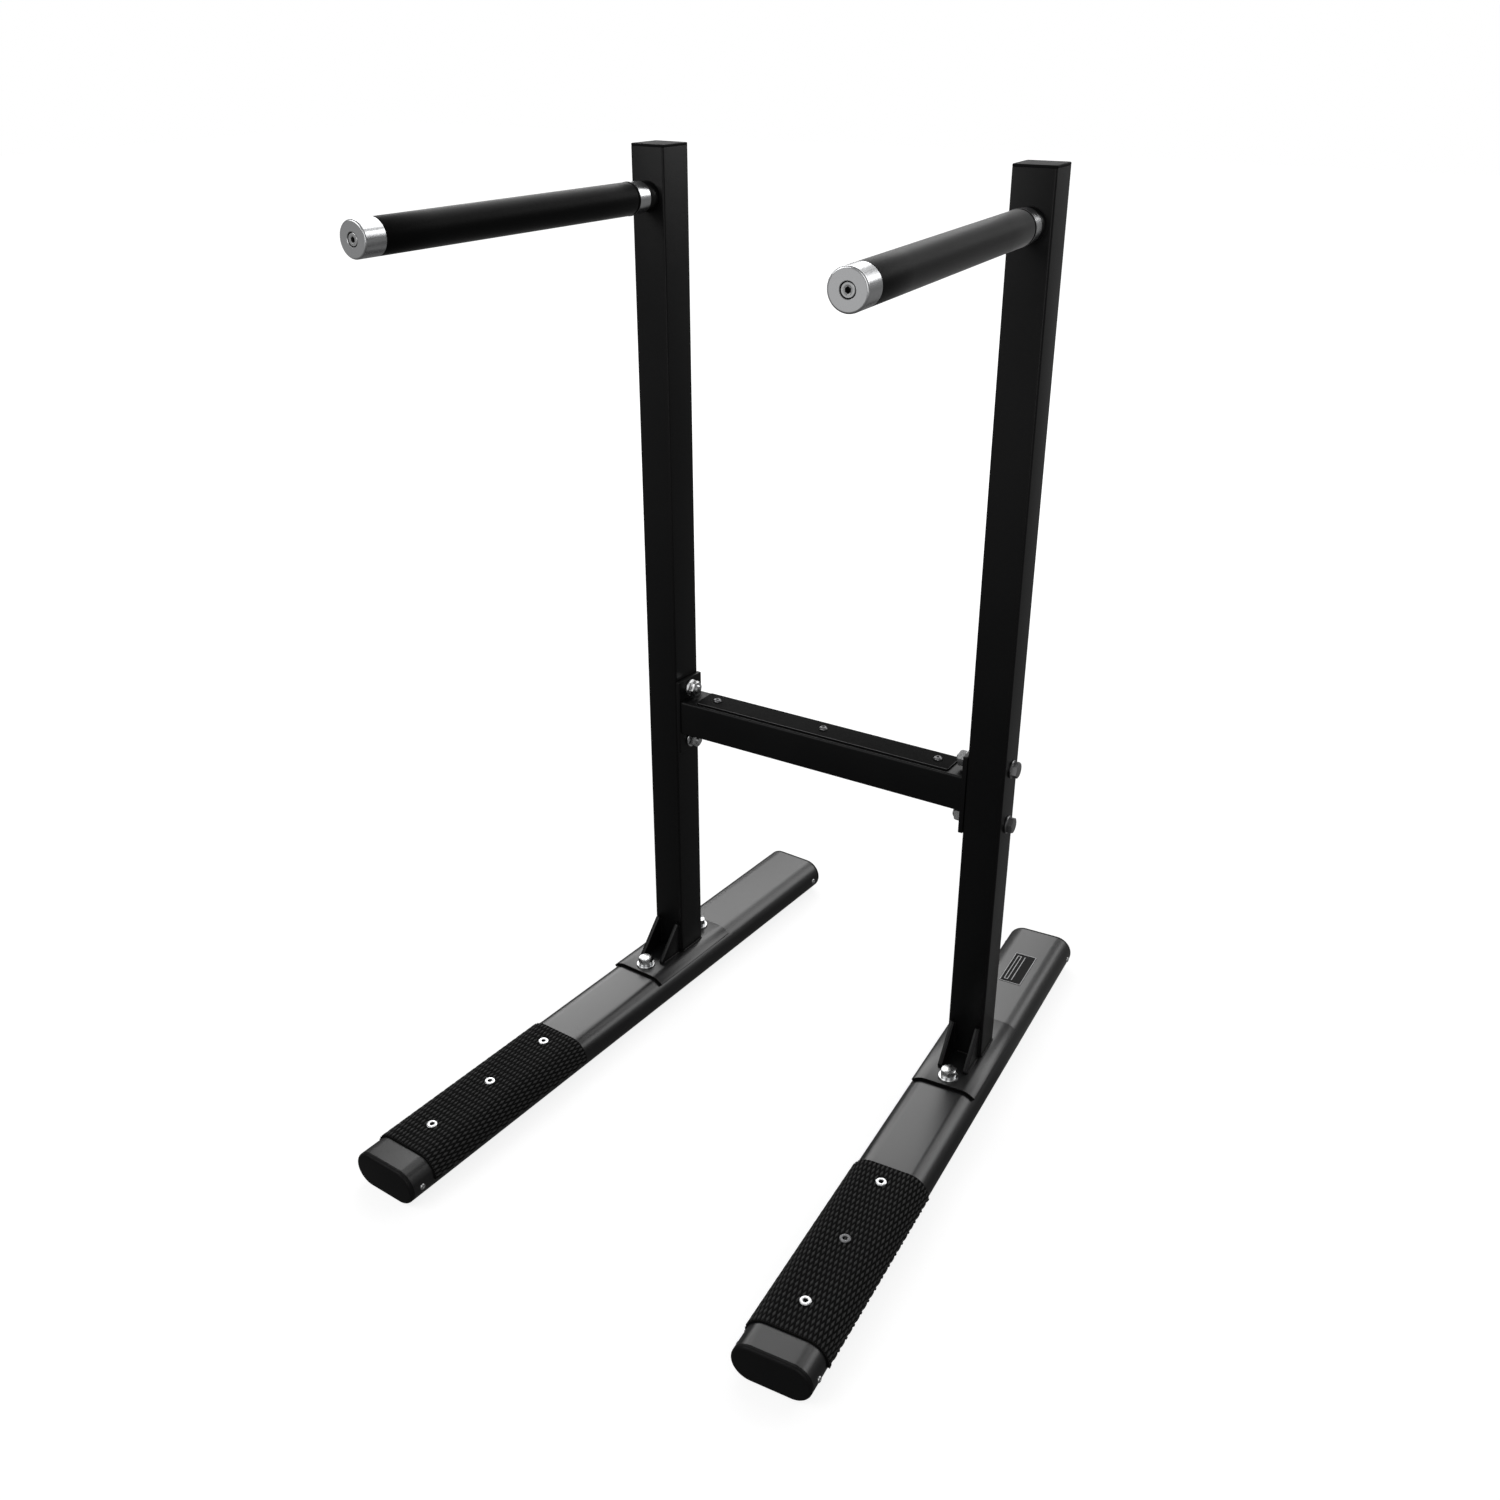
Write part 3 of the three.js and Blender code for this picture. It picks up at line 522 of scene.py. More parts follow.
def embossed(bm):
    """Raises each lozenge, and stores how far a point is raised for the finish to read."""
    raised = bm.verts.layers.float.new("raised")
    base = bmesh.ops.extrude_face_region(bm, geom=bm.faces[:], use_keep_orig=True)
    top = made(base, FACE)
    upper = {vert for face in top for vert in face.verts}
    lower = [vert for vert in bm.verts if vert not in upper]
    bmesh.ops.translate(bm, vec=(0, 0, -TREAD_THICK + RELIEF), verts=lower)
    for thickness, rise, share in RISING_STEPS:
        bmesh.ops.inset_individual(bm, faces=top, thickness=thickness, depth=0, use_even_offset=True)
        crown = list({vert for face in top for vert in face.verts})
        bmesh.ops.translate(bm, vec=(0, 0, rise * RELIEF), verts=crown)
        for vert in crown:
            vert[raised] = share
    return bm


# %% Bend the sheet over the beam
def bent_over(bm):
    for vert in bm.verts:
        across, depth = vert.co.x, vert.co.z
        radius = OUTER_RADIUS - RELIEF + depth
        turn = max(0.0, abs(across) - FLAT_HALF) / OUTER_RADIUS
        straight = min(abs(across), FLAT_HALF)
        vert.co.x = math.copysign(straight + radius * math.sin(turn), across)
        vert.co.z = BEAM_HEIGHT / 2 + radius * math.cos(turn)
    return bm


middle = Matrix.Translation((0, -(TREAD_FRONT + TREAD_REAR) / 2, 0))
for name in SIDES:
    bm = moved(bent_over(embossed(flat_tread())), middle)
    side_piece(bm, name, "tread", tread_rubber, "tread_rubber", "foot_tread", sharp=55, doubles=1e-5)
print("tread faces:", made_faces["left_tread"])

# %% [markdown]
# ## Saddle plates
# A 4 mm plate is bent over the beam under each upright. Its skin is the outer face of a
# slightly larger oval, cut off along a slanted plane on each side. The thickness is then
# added inwards, and the edges are eased as they would be after a saw and a file. The cut edge
# in front is matt and dark beside the polished top, so it has a finish of its own.

# %% The saddle plates
SADDLE_FRONT, SADDLE_REAR, SADDLE_THICK = 102, -68, 4.0
SADDLE_TOP = BEAM_HEIGHT + FIT + SADDLE_THICK
FLAP = math.radians(45)
SADDLE_EASE, SHARP_BEND = 0.6, 1.2  # millimetres, radians


def saddle():
    bm = oval_bar(SADDLE_FRONT, SADDLE_REAR, grow=FIT + SADDLE_THICK, segments=20)
    bm.normal_update()
    drop_faces(bm, is_end)
    for side in (-1, 1):
        trimmed(bm, (side * FLAT_HALF, 0, BEAM_HEIGHT / 2), (side * math.cos(FLAP), 0, -math.sin(FLAP)))
    bmesh.ops.recalc_face_normals(bm, faces=bm.faces)
    if sum(face.normal.z for face in bm.faces) < 0:
        bmesh.ops.reverse_faces(bm, faces=bm.faces)
    bmesh.ops.solidify(bm, geom=bm.faces[:], thickness=SADDLE_THICK)
    bm.normal_update()
    rim = [edge for edge in bm.edges
           if len(edge.link_faces) == 2 and edge.calc_face_angle() > SHARP_BEND]
    round_edges(bm, rim, SADDLE_EASE)
    bm.normal_update()
    return second_finish(bm, lambda face: face.normal.y < -0.25)


for name in SIDES:
    side_piece(saddle(), name, "saddle", beam_coat, "powder_coat", "saddle_plate", second=matt_pad)
print("saddle faces:", made_faces["left_saddle"])

# %% [markdown]
# ## Uprights and their plugs
# A square tube has softly rounded corners, and those corners catch a thin line of light from
# top to bottom. The plug in the top is a separate plastic piece with a fine joint below it.

# %% The uprights
UPRIGHT, UPRIGHT_TOP, CORNER = 50, 1206, 3.0
PLUG, PLUG_RIM, PLUG_INSET, PLUG_SKIRT = 3.0, 1.2, 3.3, 16
TUBE_TOP = UPRIGHT_TOP - PLUG - 0.2  # the last 0.2 mm are the joint below the plug
SAWN_EDGE = 0.35


def upright_tube():
    bm = bar((UPRIGHT, UPRIGHT, TUBE_TOP - SADDLE_TOP), (0, 0, (TUBE_TOP + SADDLE_TOP) / 2),
             (0, 0, 1), CORNER, 6)
    round_rim(bm, lambda face: abs(face.normal.z) > 0.9, SAWN_EDGE, 2)
    return bm


def top_plug():
    bm = bar((UPRIGHT, UPRIGHT, PLUG), (0, 0, UPRIGHT_TOP - PLUG / 2), (0, 0, 1), CORNER, 6)
    round_rim(bm, lambda face: face.normal.z > 0.9, PLUG_RIM, 4)
    return with_skirt(bm, lambda face: face.normal.z < -0.9, PLUG_INSET, (0, 0, -PLUG_SKIRT))


for name in SIDES:
    side_piece(upright_tube(), name, "upright_tube", powder_coat, "powder_coat", "upright")
    side_piece(top_plug(), name, "top_plug", plug_plastic, "cap_plastic", "upright_plug")
print("upright faces:", made_faces["left_upright_tube"])

# %% [markdown]
# ## Gussets and welds
# Two triangular plates brace the front of each upright. Each is drawn from the side as a
# five-cornered outline with blunt tips, then given its thickness. The welds round the gussets
# and the upright are beads: a small round section pushed along in short steps that swell and
# shrink, the way a welder's puddle leaves ripples.

# %% Gusset plates
GUSSET_THICK, GUSSET_PLACE, GUSSET_EASE = 6, 18, 0.6
GUSSET_OUTLINE = [(25.3, 0), (25.3, 50), (29.3, 50), (69, 4), (69, 0)]


def gusset(across):
    bm = bmesh.new()
    left = across - GUSSET_THICK / 2
    outline = [bm.verts.new((left, -forward, SADDLE_TOP + up)) for forward, up in GUSSET_OUTLINE]
    face = bm.faces.new(outline)
    grown = bmesh.ops.extrude_face_region(bm, geom=[face], use_keep_orig=True)
    bmesh.ops.translate(bm, vec=(GUSSET_THICK, 0, 0), verts=made(grown, VERT))
    bmesh.ops.recalc_face_normals(bm, faces=bm.faces)
    round_edges(bm, bm.edges[:], GUSSET_EASE, 2)
    return bm


for name, sign in SIDES.items():
    for which, across in (("outer", sign * GUSSET_PLACE), ("inner", -sign * GUSSET_PLACE)):
        side_piece(gusset(across), name, f"{which}_gusset_plate", powder_coat, "powder_coat",
                   f"{which}_gusset")


# %% Weld beads
BEAD, FINE_BEAD, BEAD_STEP = 1.7, 1.3, 1.3
BEAD_END = 0.6
BEAD_RIPPLE = (0.86, 1.0, 1.1, 0.98)


def weld_bead(start, end, radius):
    start, end = Vector(start), Vector(end)
    run = end - start
    steps = max(4, round(run.length / BEAD_STEP))
    bm = bmesh.new()
    facing = run.to_track_quat("Z", "Y").to_matrix().to_4x4()
    bmesh.ops.create_circle(bm, cap_ends=True, segments=10, radius=radius * BEAD_END,
                            matrix=Matrix.Translation(start) @ facing)
    head = bm.faces[:]
    centre = start.copy()
    for step in range(steps):
        grown = bmesh.ops.extrude_face_region(bm, geom=head)
        if step:
            bmesh.ops.delete(bm, geom=head, context="FACES_ONLY")
        head, ring = made(grown, FACE), made(grown, VERT)
        centre = centre + run / steps
        bmesh.ops.translate(bm, vec=run / steps, verts=ring)
        size = BEAD_RIPPLE[step % 4] * radius if step < steps - 1 else radius * BEAD_END
        now = (ring[0].co - centre).length
        bmesh.ops.scale(bm, vec=Vector((1, 1, 1)) * size / now, space=Matrix.Translation(-centre), verts=ring)
    return bm


def side_welds():
    """The beads round the foot of an upright, then those along and up its gussets."""
    half, low = UPRIGHT / 2, SADDLE_TOP + 0.3
    out, end, gusset_side = half + 0.2, half - 2, GUSSET_THICK / 2 + 0.1
    runs = [((-out, end, low), (-out, -end, low), BEAD), ((out, end, low), (out, -end, low), BEAD),
            ((-end, out, low), (end, out, low), BEAD), ((-12, -out, low), (12, -out, low), BEAD)]
    for across in (-GUSSET_PLACE, GUSSET_PLACE):
        for place in (across - gusset_side, across + gusset_side):
            runs += [((place, -half - 3, low), (place, -67, low), FINE_BEAD),
                     ((place, -half - 0.3, low + 3), (place, -half - 0.3, low + 47), FINE_BEAD)]
    return joined(*(weld_bead(*run) for run in runs))


for name in SIDES:
    side_piece(side_welds(), name, "welds", powder_coat, "powder_coat", sharp=80)
print("weld faces:", made_faces["left_welds"])

# %% [markdown]
# ## Handles
# Everything on a handle is round, so each piece is half a section spun about the handle's axis.
# A black collar, a bright ring, the rubber grip and the bright end cap follow one another along
# the tube that carries them. The end cap has a rounded rim and a countersunk hole. Each turned
# piece gets the UV map that its lathe marks follow.

# %% Sizes of a handle
HANDLE_HEIGHT, HANDLE_END = 1147, 488
GRIP_RADIUS, TUBE_RADIUS = 19.25, 15.0
ALONG_HANDLE = Matrix.Translation((0, 0, HANDLE_HEIGHT)) @ FORWARD


def mark_turning(bm, in_recess=None):
    """Stores each point's distance from the axis and along it, and which points lie in a recess, where the
    finish paints shade.
    """
    raised = bm.verts.layers.float.new("raised")
    for vert in bm.verts:
        vert[raised] = 0.0 if in_recess and in_recess(vert.co) else 1.0
    layer = bm.loops.layers.uv.new("turning")
    for face in bm.faces:
        for loop in face.loops:
            place = loop.vert.co
            loop[layer].uv = (math.hypot(place.x, place.y) + 40, place.z)
    return bm


def handle_piece(profile, steps=96, in_recess=None):
    return moved(mark_turning(turned(profile, steps), in_recess), ALONG_HANDLE)


# %% Tube, collar and grip
TUBE_BORE, TUBE_REAR, TUBE_FRONT = 12, 3 - 24.7, 478.7
SLEEVE_BORE = TUBE_RADIUS + FIT
tube_profile = [(TUBE_BORE, TUBE_REAR), (TUBE_RADIUS, TUBE_REAR), (TUBE_RADIUS, TUBE_FRONT),
                (TUBE_BORE, TUBE_FRONT), (TUBE_BORE, TUBE_REAR)]
collar_profile = [(SLEEVE_BORE, 25.3), (17.7, 25.3), (18, 25.6), (18, 29.2), (17.5, 40.2), (17.1, 40.8),
                  (16.5, 41.0), (SLEEVE_BORE, 41.0), (SLEEVE_BORE, 25.3)]
ferrule_profile = [(SLEEVE_BORE, 41.3), (18.3, 41.3), (18.6, 41.6), (18.6, 42.4), (18.6, 59.6),
                   (18.6, 60.4), (18.3, 60.7), (SLEEVE_BORE, 60.7), (SLEEVE_BORE, 41.3)]
grip_profile = [(SLEEVE_BORE, 61.2), (19.1, 61.2), (19.5, 61.4), (19.65, 61.9), (19.65, 63.6),
                (19.5, 64.1), (19.1, 64.4), (18.95, 65.0), (19.1, 65.8), (GRIP_RADIUS, 66.6),
                (GRIP_RADIUS, 130), (GRIP_RADIUS, 260), (GRIP_RADIUS, 390), (GRIP_RADIUS, 459.2),
                (19.1, 459.6), (18.9, 459.7), (SLEEVE_BORE, 459.7), (SLEEVE_BORE, 61.2)]
HANDLE_PIECES = (
    ("bright_tube", tube_profile, aluminium, "aluminium", "handle_tube"),
    ("collar", collar_profile, powder_coat, "powder_coat", "handle_collar"),
    ("bright_ring", ferrule_profile, aluminium, "aluminium", "grip_ferrule"),
    ("rubber_grip", grip_profile, grip_rubber, "grip_rubber", "grip"))
for name in SIDES:
    for title, profile, material, slot, node in HANDLE_PIECES:
        side_piece(handle_piece(profile), name, title, material, slot, node)
print("grip faces:", made_faces["left_rubber_grip"])

# %% End caps of the grips
CAP_REAR, RIM_RADIUS, SINK = 460, 2.0, 7.6
SCREW_HOLE, CAP_FLOOR = 4.4, HANDLE_END - 9
rounded_rim = [(GRIP_RADIUS - RIM_RADIUS * (1 - math.cos(turn)),
                HANDLE_END - RIM_RADIUS * (1 - math.sin(turn)))
               for turn in (math.radians(15 * step) for step in range(7))]
end_profile = [(SLEEVE_BORE, CAP_REAR), (GRIP_RADIUS - 0.3, CAP_REAR), (GRIP_RADIUS, CAP_REAR + 0.3),
               (GRIP_RADIUS, HANDLE_END - RIM_RADIUS - 0.3), *rounded_rim,
               (GRIP_RADIUS - RIM_RADIUS - 0.3, HANDLE_END), (SINK + 0.25, HANDLE_END),
               (SINK, HANDLE_END - 0.25), (SINK - 0.3, HANDLE_END - 0.7), (SCREW_HOLE, HANDLE_END - 4),
               (SCREW_HOLE, CAP_FLOOR), (SLEEVE_BORE, CAP_FLOOR), (SLEEVE_BORE, CAP_REAR)]
for name in SIDES:
    # The countersink and screw hole are marked as recess, where the finish paints shade.
    bm = handle_piece(end_profile, 128, lambda place: math.hypot(place.x, place.y) < SINK - 0.2)
    side_piece(bm, name, "bright_end", aluminium, "aluminium", "grip_end_cap", sharp=25)
print("end cap faces:", made_faces["left_bright_end"])

# %% [markdown]
# ## Screws with a hexagon socket
# The treads, the crossbar's plate and the handle ends are held by socket screws. The outside
# is spun. The socket is a hexagon whose edges are cut into as many steps as the rim, so that
# the two loops can be bridged point to point. The hexagon is then pushed down and closed.

# %% The socket screw
ROUND_STEPS = 48
SOCKET_DROP = 0.12  # from the rim down to the socket's edge
SOCKET_REACH = 3.9  # no socket is wider than this from the axis


def hexagon_loop(bm, across_flats, height):
    bmesh.ops.create_circle(bm, segments=6, radius=across_flats / 2 / math.cos(math.pi / 6))
    bmesh.ops.subdivide_edges(bm, edges=bm.edges[:], cuts=ROUND_STEPS // 6 - 1)
    bmesh.ops.translate(bm, vec=(0, 0, height), verts=bm.verts)


def socket_screw(profile, across_flats, depth):
    """The profile runs from the shank's end on the axis up to the rim round the socket."""
    bm = turned(profile, ROUND_STEPS)
    rim_height = profile[-1][1]
    socket = bmesh.new()
    hexagon_loop(socket, across_flats, rim_height - SOCKET_DROP)
    walls = bmesh.ops.extrude_edge_only(socket, edges=socket.edges[:])
    bmesh.ops.translate(socket, vec=(0, 0, -depth), verts=made(walls, VERT))
    bottom = [edge for edge in made(walls, EDGE)
              if edge.is_boundary and edge.verts[0].co.z < rim_height - 1]
    bmesh.ops.edgeloop_fill(socket, edges=bottom)
    joined(bm, socket)
    bmesh.ops.bridge_loops(bm, edges=open_edges(bm))
    # The socket's floor and lower walls are marked as recess, where the finish paints shade.
    return mark_turning(bm, lambda place: place.z < rim_height - 1
                        and math.hypot(place.x, place.y) < SOCKET_REACH)


tread_screw_profile = [(0, -15), (3.6, -15), (4, -14.5), (4, -1), (7.0, -1), (7.2, -0.8), (7.2, 0.4),
                       (7.05, 0.8), (6.7, 1.05), (6.2, 1.15), (4.4, 1.2), (3.9, 1.15)]
top_screw_profile = [(0, -12), (3, -12), (3, 0), (5.9, 0), (6.05, 0.25), (6.05, 0.7),
                     (5.6, 1.7), (4.6, 2.7), (3.6, 3.15), (2.9, 3.25)]
end_screw_profile = [(0, -26), (4, -26), (4, -4.6), (6.2, -1.7), (6.5, -1.2), (6.45, -0.9), (6.1, -0.6),
                     (4.3, -0.5), (3.7, -0.7)]

# %% Place the screws
TREAD_SCREWS = (311, 417.5, 524)
TREAD_TOP = BEAM_HEIGHT + FIT + TREAD_THICK
for name in SIDES:
    for index, forward in enumerate(TREAD_SCREWS):
        bm = moved(socket_screw(tread_screw_profile, 6, 3),
                   Matrix.Translation((0, -forward, TREAD_TOP)) @ twisted(23 + 37 * index))
        metal = dull_zinc if (name, index) == ("right", 1) else zinc
        side_piece(bm, name, f"tread_fixing_{index + 1}", metal, "zinc_steel",
                   f"tread_screw_{index + 1}")
    bm = moved(socket_screw(end_screw_profile, 5.5, 3.5),
               Matrix.Translation((0, -HANDLE_END, HANDLE_HEIGHT)) @ FORWARD)
    side_piece(bm, name, "end_fixing", zinc, "zinc_steel", "end_cap_screw", sharp=25)
print("screw faces:", made_faces["left_tread_fixing_1"])

# %% [markdown]
# ## Bolts, washers and nuts
# A hexagon head has a cone turned off its top, which leaves a curved line on each flat.
# The hexagon's edges are cut into short steps. Its upper loop is lowered the further a point
# lies from the axis, and a disc closes the middle. The split washer is spun nearly all the way
# round, with a slight rise. No two bolts were tightened to the same turn, so each has its own.

# %% Hexagon heads and nuts
HEX_ACROSS = 19
CONE_SLOPE, CONE_START, DISC_SHARE = 0.58, 0.95, 0.93  # the last two are shares of half a head


def hexagon_block(bottom, height, bore=0.0):
    flat = HEX_ACROSS / 2
    bm = bmesh.new()
    hexagon_loop(bm, HEX_ACROSS, bottom)
    for vert in made(bmesh.ops.extrude_edge_only(bm, edges=bm.edges[:]), VERT):
        reach = math.hypot(vert.co.x, vert.co.y)
        vert.co.z = height - CONE_SLOPE * max(0.0, reach - CONE_START * flat)
    bmesh.ops.create_circle(bm, segments=ROUND_STEPS, radius=DISC_SHARE * flat,
                            matrix=Matrix.Translation((0, 0, height)))
    high = [edge for edge in open_edges(bm) if edge.verts[0].co.z > height - 2]
    disc_edges = [edge for edge in bm.edges if edge.is_wire]
    bmesh.ops.bridge_loops(bm, edges=high + disc_edges)
    for level in (height, bottom):
        rim = [edge for edge in open_edges(bm) if all(abs(v.co.z - level) < 0.01 for v in edge.verts)]
        if bore:
            bmesh.ops.create_circle(bm, segments=ROUND_STEPS, radius=bore,
                                    matrix=Matrix.Translation((0, 0, level)))
            rim += [edge for edge in bm.edges if edge.is_wire]
            bmesh.ops.bridge_loops(bm, edges=rim)
        else:
            bmesh.ops.edgeloop_fill(bm, edges=rim)
    if bore:
        bmesh.ops.bridge_loops(bm, edges=open_edges(bm))
    return bm


BOLT_RADIUS, BOLT_CHAMFER = 6.0, 0.8
THREAD_PITCH, THREAD_DEPTH = 1.6, 0.9


def bolt_shank(bottom, top):
    inner = BOLT_RADIUS - BOLT_CHAMFER
    return turned([(0, bottom), (inner, bottom), (BOLT_RADIUS, bottom + BOLT_CHAMFER),
                   (BOLT_RADIUS, top - BOLT_CHAMFER), (inner, top), (0, top)], 32)


def thread_tail(bottom, top):
    """The end of a bolt, with the ridges of its thread."""
    profile = [(0, bottom)]
    root, height = BOLT_RADIUS - THREAD_DEPTH, bottom
    while height < top - THREAD_PITCH:
        profile += [(root, height), (BOLT_RADIUS, height + THREAD_PITCH / 2)]
        height += THREAD_PITCH
    profile += [(root, top - 0.3), (BOLT_RADIUS - 1.2, top), (0, top)]
    return turned(profile, 32)


# %% Washers
WASHER_BORE, WASHER_THICK = 6.4, 2.5
FRAME_WASHER, BASE_WASHER = 12.0, 13.6
SPLIT_INNER, SPLIT_OUTER, SPLIT_THICK = 6.5, 10.2, 3.0
SPLIT_RISE, SPLIT_STEPS = 0.25, 60


def flat_washer(radius):
    top = WASHER_THICK
    return turned([(WASHER_BORE, 0), (radius - 0.2, 0), (radius, 0.3), (radius, top - 0.5),
                   (radius - 0.4, top), (WASHER_BORE + 0.4, top), (WASHER_BORE, top - 0.4),
                   (WASHER_BORE, 0)], 64)


def split_washer(bottom):
    bm = bmesh.new()
    low, high = bottom + 0.15, bottom + SPLIT_THICK - 0.45
    section = [bm.verts.new((radius, 0, height)) for radius, height in
               ((SPLIT_INNER, low), (SPLIT_OUTER, low), (SPLIT_OUTER, high), (SPLIT_INNER, high))]
    bmesh.ops.spin(bm, geom=[bm.faces.new(section)], cent=(0, 0, 0), axis=(0, 0, 1),
                   dvec=(0, 0, SPLIT_RISE / SPLIT_STEPS), angle=math.radians(350), steps=SPLIT_STEPS,
                   use_merge=False, use_duplicate=False)
    return bm


# %% Bolts of the base
BASE_BOLTS = {"front": (83, 12), "rear": (-49, 41)}  # place along the beam, turn in degrees
HEAD_HEIGHT, BASE_SHANK = 7.5, 25
WASHER_STACK = WASHER_THICK + SPLIT_THICK
for name in SIDES:
    for end, (forward, turn) in BASE_BOLTS.items():
        seat = Matrix.Translation((0, -forward, SADDLE_TOP)) @ twisted(turn)
        washers = joined(flat_washer(BASE_WASHER), split_washer(WASHER_THICK))
        side_piece(moved(mark_turning(washers), seat), name, f"{end}_washers", zinc, "zinc_steel",
                   f"{end}_base_washers")
        bolt = joined(hexagon_block(WASHER_STACK, WASHER_STACK + HEAD_HEIGHT),
                      bolt_shank(-BASE_SHANK, WASHER_STACK))
        side_piece(moved(mark_turning(bolt), seat), name, f"{end}_bolt", zinc, "zinc_steel",
                   f"{end}_base_bolt")
print("bolt faces:", made_faces["left_front_bolt"])

# %% [markdown]
# ## Crossbar
# The crossbar is a square tube whose ends are mitred to meet the end plates, which follow the
# splay of the uprights. A long thin plate is screwed down along its top. Bolts run through the
# uprights and the end plates, with their heads outside and their nuts inside.

# %% The tube and its end plates
BAR_HEIGHT, BAR_SIDE = 452.5, 50
PLATE_THICK, PLATE_TALL, PLATE_CORNER, PLATE_EASE = 6, 110, 1.5, 0.5
END_FACE = UPRIGHT / 2 + FIT + PLATE_THICK
bar_place = crossbar_to_world @ Matrix.Scale(MM, 4)
half_span = axis["right"].x / MM


def crossbar_tube():
    bm = bar((2 * half_span, BAR_SIDE, BAR_SIDE), (0, 0, BAR_HEIGHT), (1, 0, 0), CORNER, 6)
    for sign in (-1, 1):
        outward = Matrix.Rotation(sign * SPLAY, 3, "Z") @ Vector((sign, 0, 0))
        near = Vector((sign * half_span, 0, 0)) - outward * (END_FACE + FIT)
        trimmed(bm, near, outward)
        bmesh.ops.holes_fill(bm, edges=open_edges(bm), sides=0)
    return bm


def end_plate(sign):
    centre = -sign * (UPRIGHT / 2 + FIT + PLATE_THICK / 2)
    bm = bar((PLATE_THICK, UPRIGHT, PLATE_TALL), (centre, 0, BAR_HEIGHT), (1, 0, 0), PLATE_CORNER, 3)
    round_rim(bm, lambda face: abs(face.normal.x) > 0.9, PLATE_EASE, 2)
    return bm


finish_piece(crossbar_tube(), "crossbar_tube", bar_place, powder_coat, "powder_coat", "crossbar")
for name, sign in SIDES.items():
    side_piece(end_plate(sign), name, "bar_plate", powder_coat, "powder_coat", "end_plate")
print("crossbar faces:", made_faces["crossbar_tube"])

# %% The plate on top, with its screws
TOP_LENGTH, TOP_WIDTH, TOP_THICK, TOP_CORNER, TOP_EASE = 386, 39, 3.0, 3, 0.9
TOP_SCREWS = (-170, 0, 170)
BAR_TOP = BAR_HEIGHT + BAR_SIDE / 2


def top_plate():
    bm = bar((TOP_LENGTH, TOP_WIDTH, TOP_THICK), (0, 0, BAR_TOP + TOP_THICK / 2), (0, 0, 1), TOP_CORNER, 5)
    round_rim(bm, lambda face: face.normal.z > 0.9, TOP_EASE)
    return second_finish(bm, lambda face: 0.2 < face.normal.z < 0.95)


finish_piece(top_plate(), "top_plate", bar_place, matt_pad, "powder_coat", "crossbar_top_plate",
             second=rubbed_coat)
for index, across in enumerate(TOP_SCREWS):
    bm = moved(socket_screw(top_screw_profile, 4.4, 2.2),
               Matrix.Translation((across, 0, BAR_TOP + TOP_THICK)) @ twisted(17 + 31 * index))
    finish_piece(bm, f"top_plate_fixing_{index + 1}", bar_place, dull_zinc, "zinc_steel",
                 f"top_plate_screw_{index + 1}")

# %% Bolts through the uprights
BOLT_HEIGHTS = {"upper": BAR_HEIGHT + 40, "lower": BAR_HEIGHT - 40}
HEAD_SEAT, NUT_SEAT = UPRIGHT / 2 + FIT, END_FACE + FIT
NUT_TOP, NUT_BORE, CROSS_SHANK = WASHER_THICK + 10, 6.2, 40
TAIL_BOTTOM, TAIL_TOP = -4, NUT_TOP + 3


def seat_beside(offset, height, turn):
    """Where a bolt or nut lies against an upright, this far off its axis."""
    return Matrix.Translation((offset, 0, height)) @ sideways(math.copysign(1, offset)) @ twisted(turn)


for name, sign in SIDES.items():
    for index, (level, height) in enumerate(BOLT_HEIGHTS.items()):
        turn = 8 + 21 * index + 9 * sign
        head = joined(flat_washer(FRAME_WASHER), hexagon_block(WASHER_THICK, WASHER_THICK + HEAD_HEIGHT),
                      bolt_shank(-CROSS_SHANK, WASHER_THICK))
        side_piece(moved(mark_turning(head), seat_beside(sign * HEAD_SEAT, height, turn)), name,
                   f"{level}_bolt_head", worn_zinc, "zinc_steel", f"{level}_cross_bolt")
        nut = joined(flat_washer(FRAME_WASHER), hexagon_block(WASHER_THICK, NUT_TOP, NUT_BORE),
                     thread_tail(TAIL_BOTTOM, TAIL_TOP))
        side_piece(moved(mark_turning(nut), seat_beside(-sign * NUT_SEAT, height, turn)), name,
                   f"{level}_nut", zinc, "zinc_steel", f"{level}_cross_nut")
print("nut faces:", made_faces["left_upper_nut"])

# %% [markdown]
# ## Small pieces
# A small screw in each side of a beam's end holds its cap. The screws are too small for the CAD
# model, so they are added here. The plate behind the right upright is blank. It has a fine raised
# border and the lines of an empty field.

# %% Cap screws in the beams' sides
CAP_SCREW_INSET = 20


def cap_screw():
    return turned([(0, -4), (2.2, -4), (2.2, -0.8), (4.1, -0.8), (4.25, -0.4), (4.1, 0.5), (3.4, 1.3),
                   (2.3, 1.75), (1.2, 1.85), (0.9, 1.1), (0, 1.0)], 32)


for name in SIDES:
    bm = bmesh.new()
    for forward in (BEAM_FRONT - CAP_SCREW_INSET, BEAM_REAR + CAP_SCREW_INSET):
        for side in (-1, 1):
            place = Matrix.Translation((side * BEAM_WIDTH / 2, -forward, BEAM_HEIGHT / 2))
            joined(bm, moved(cap_screw(), place @ sideways(side)))
    side_piece(mark_turning(bm), name, "cap_screws", zinc, "zinc_steel")

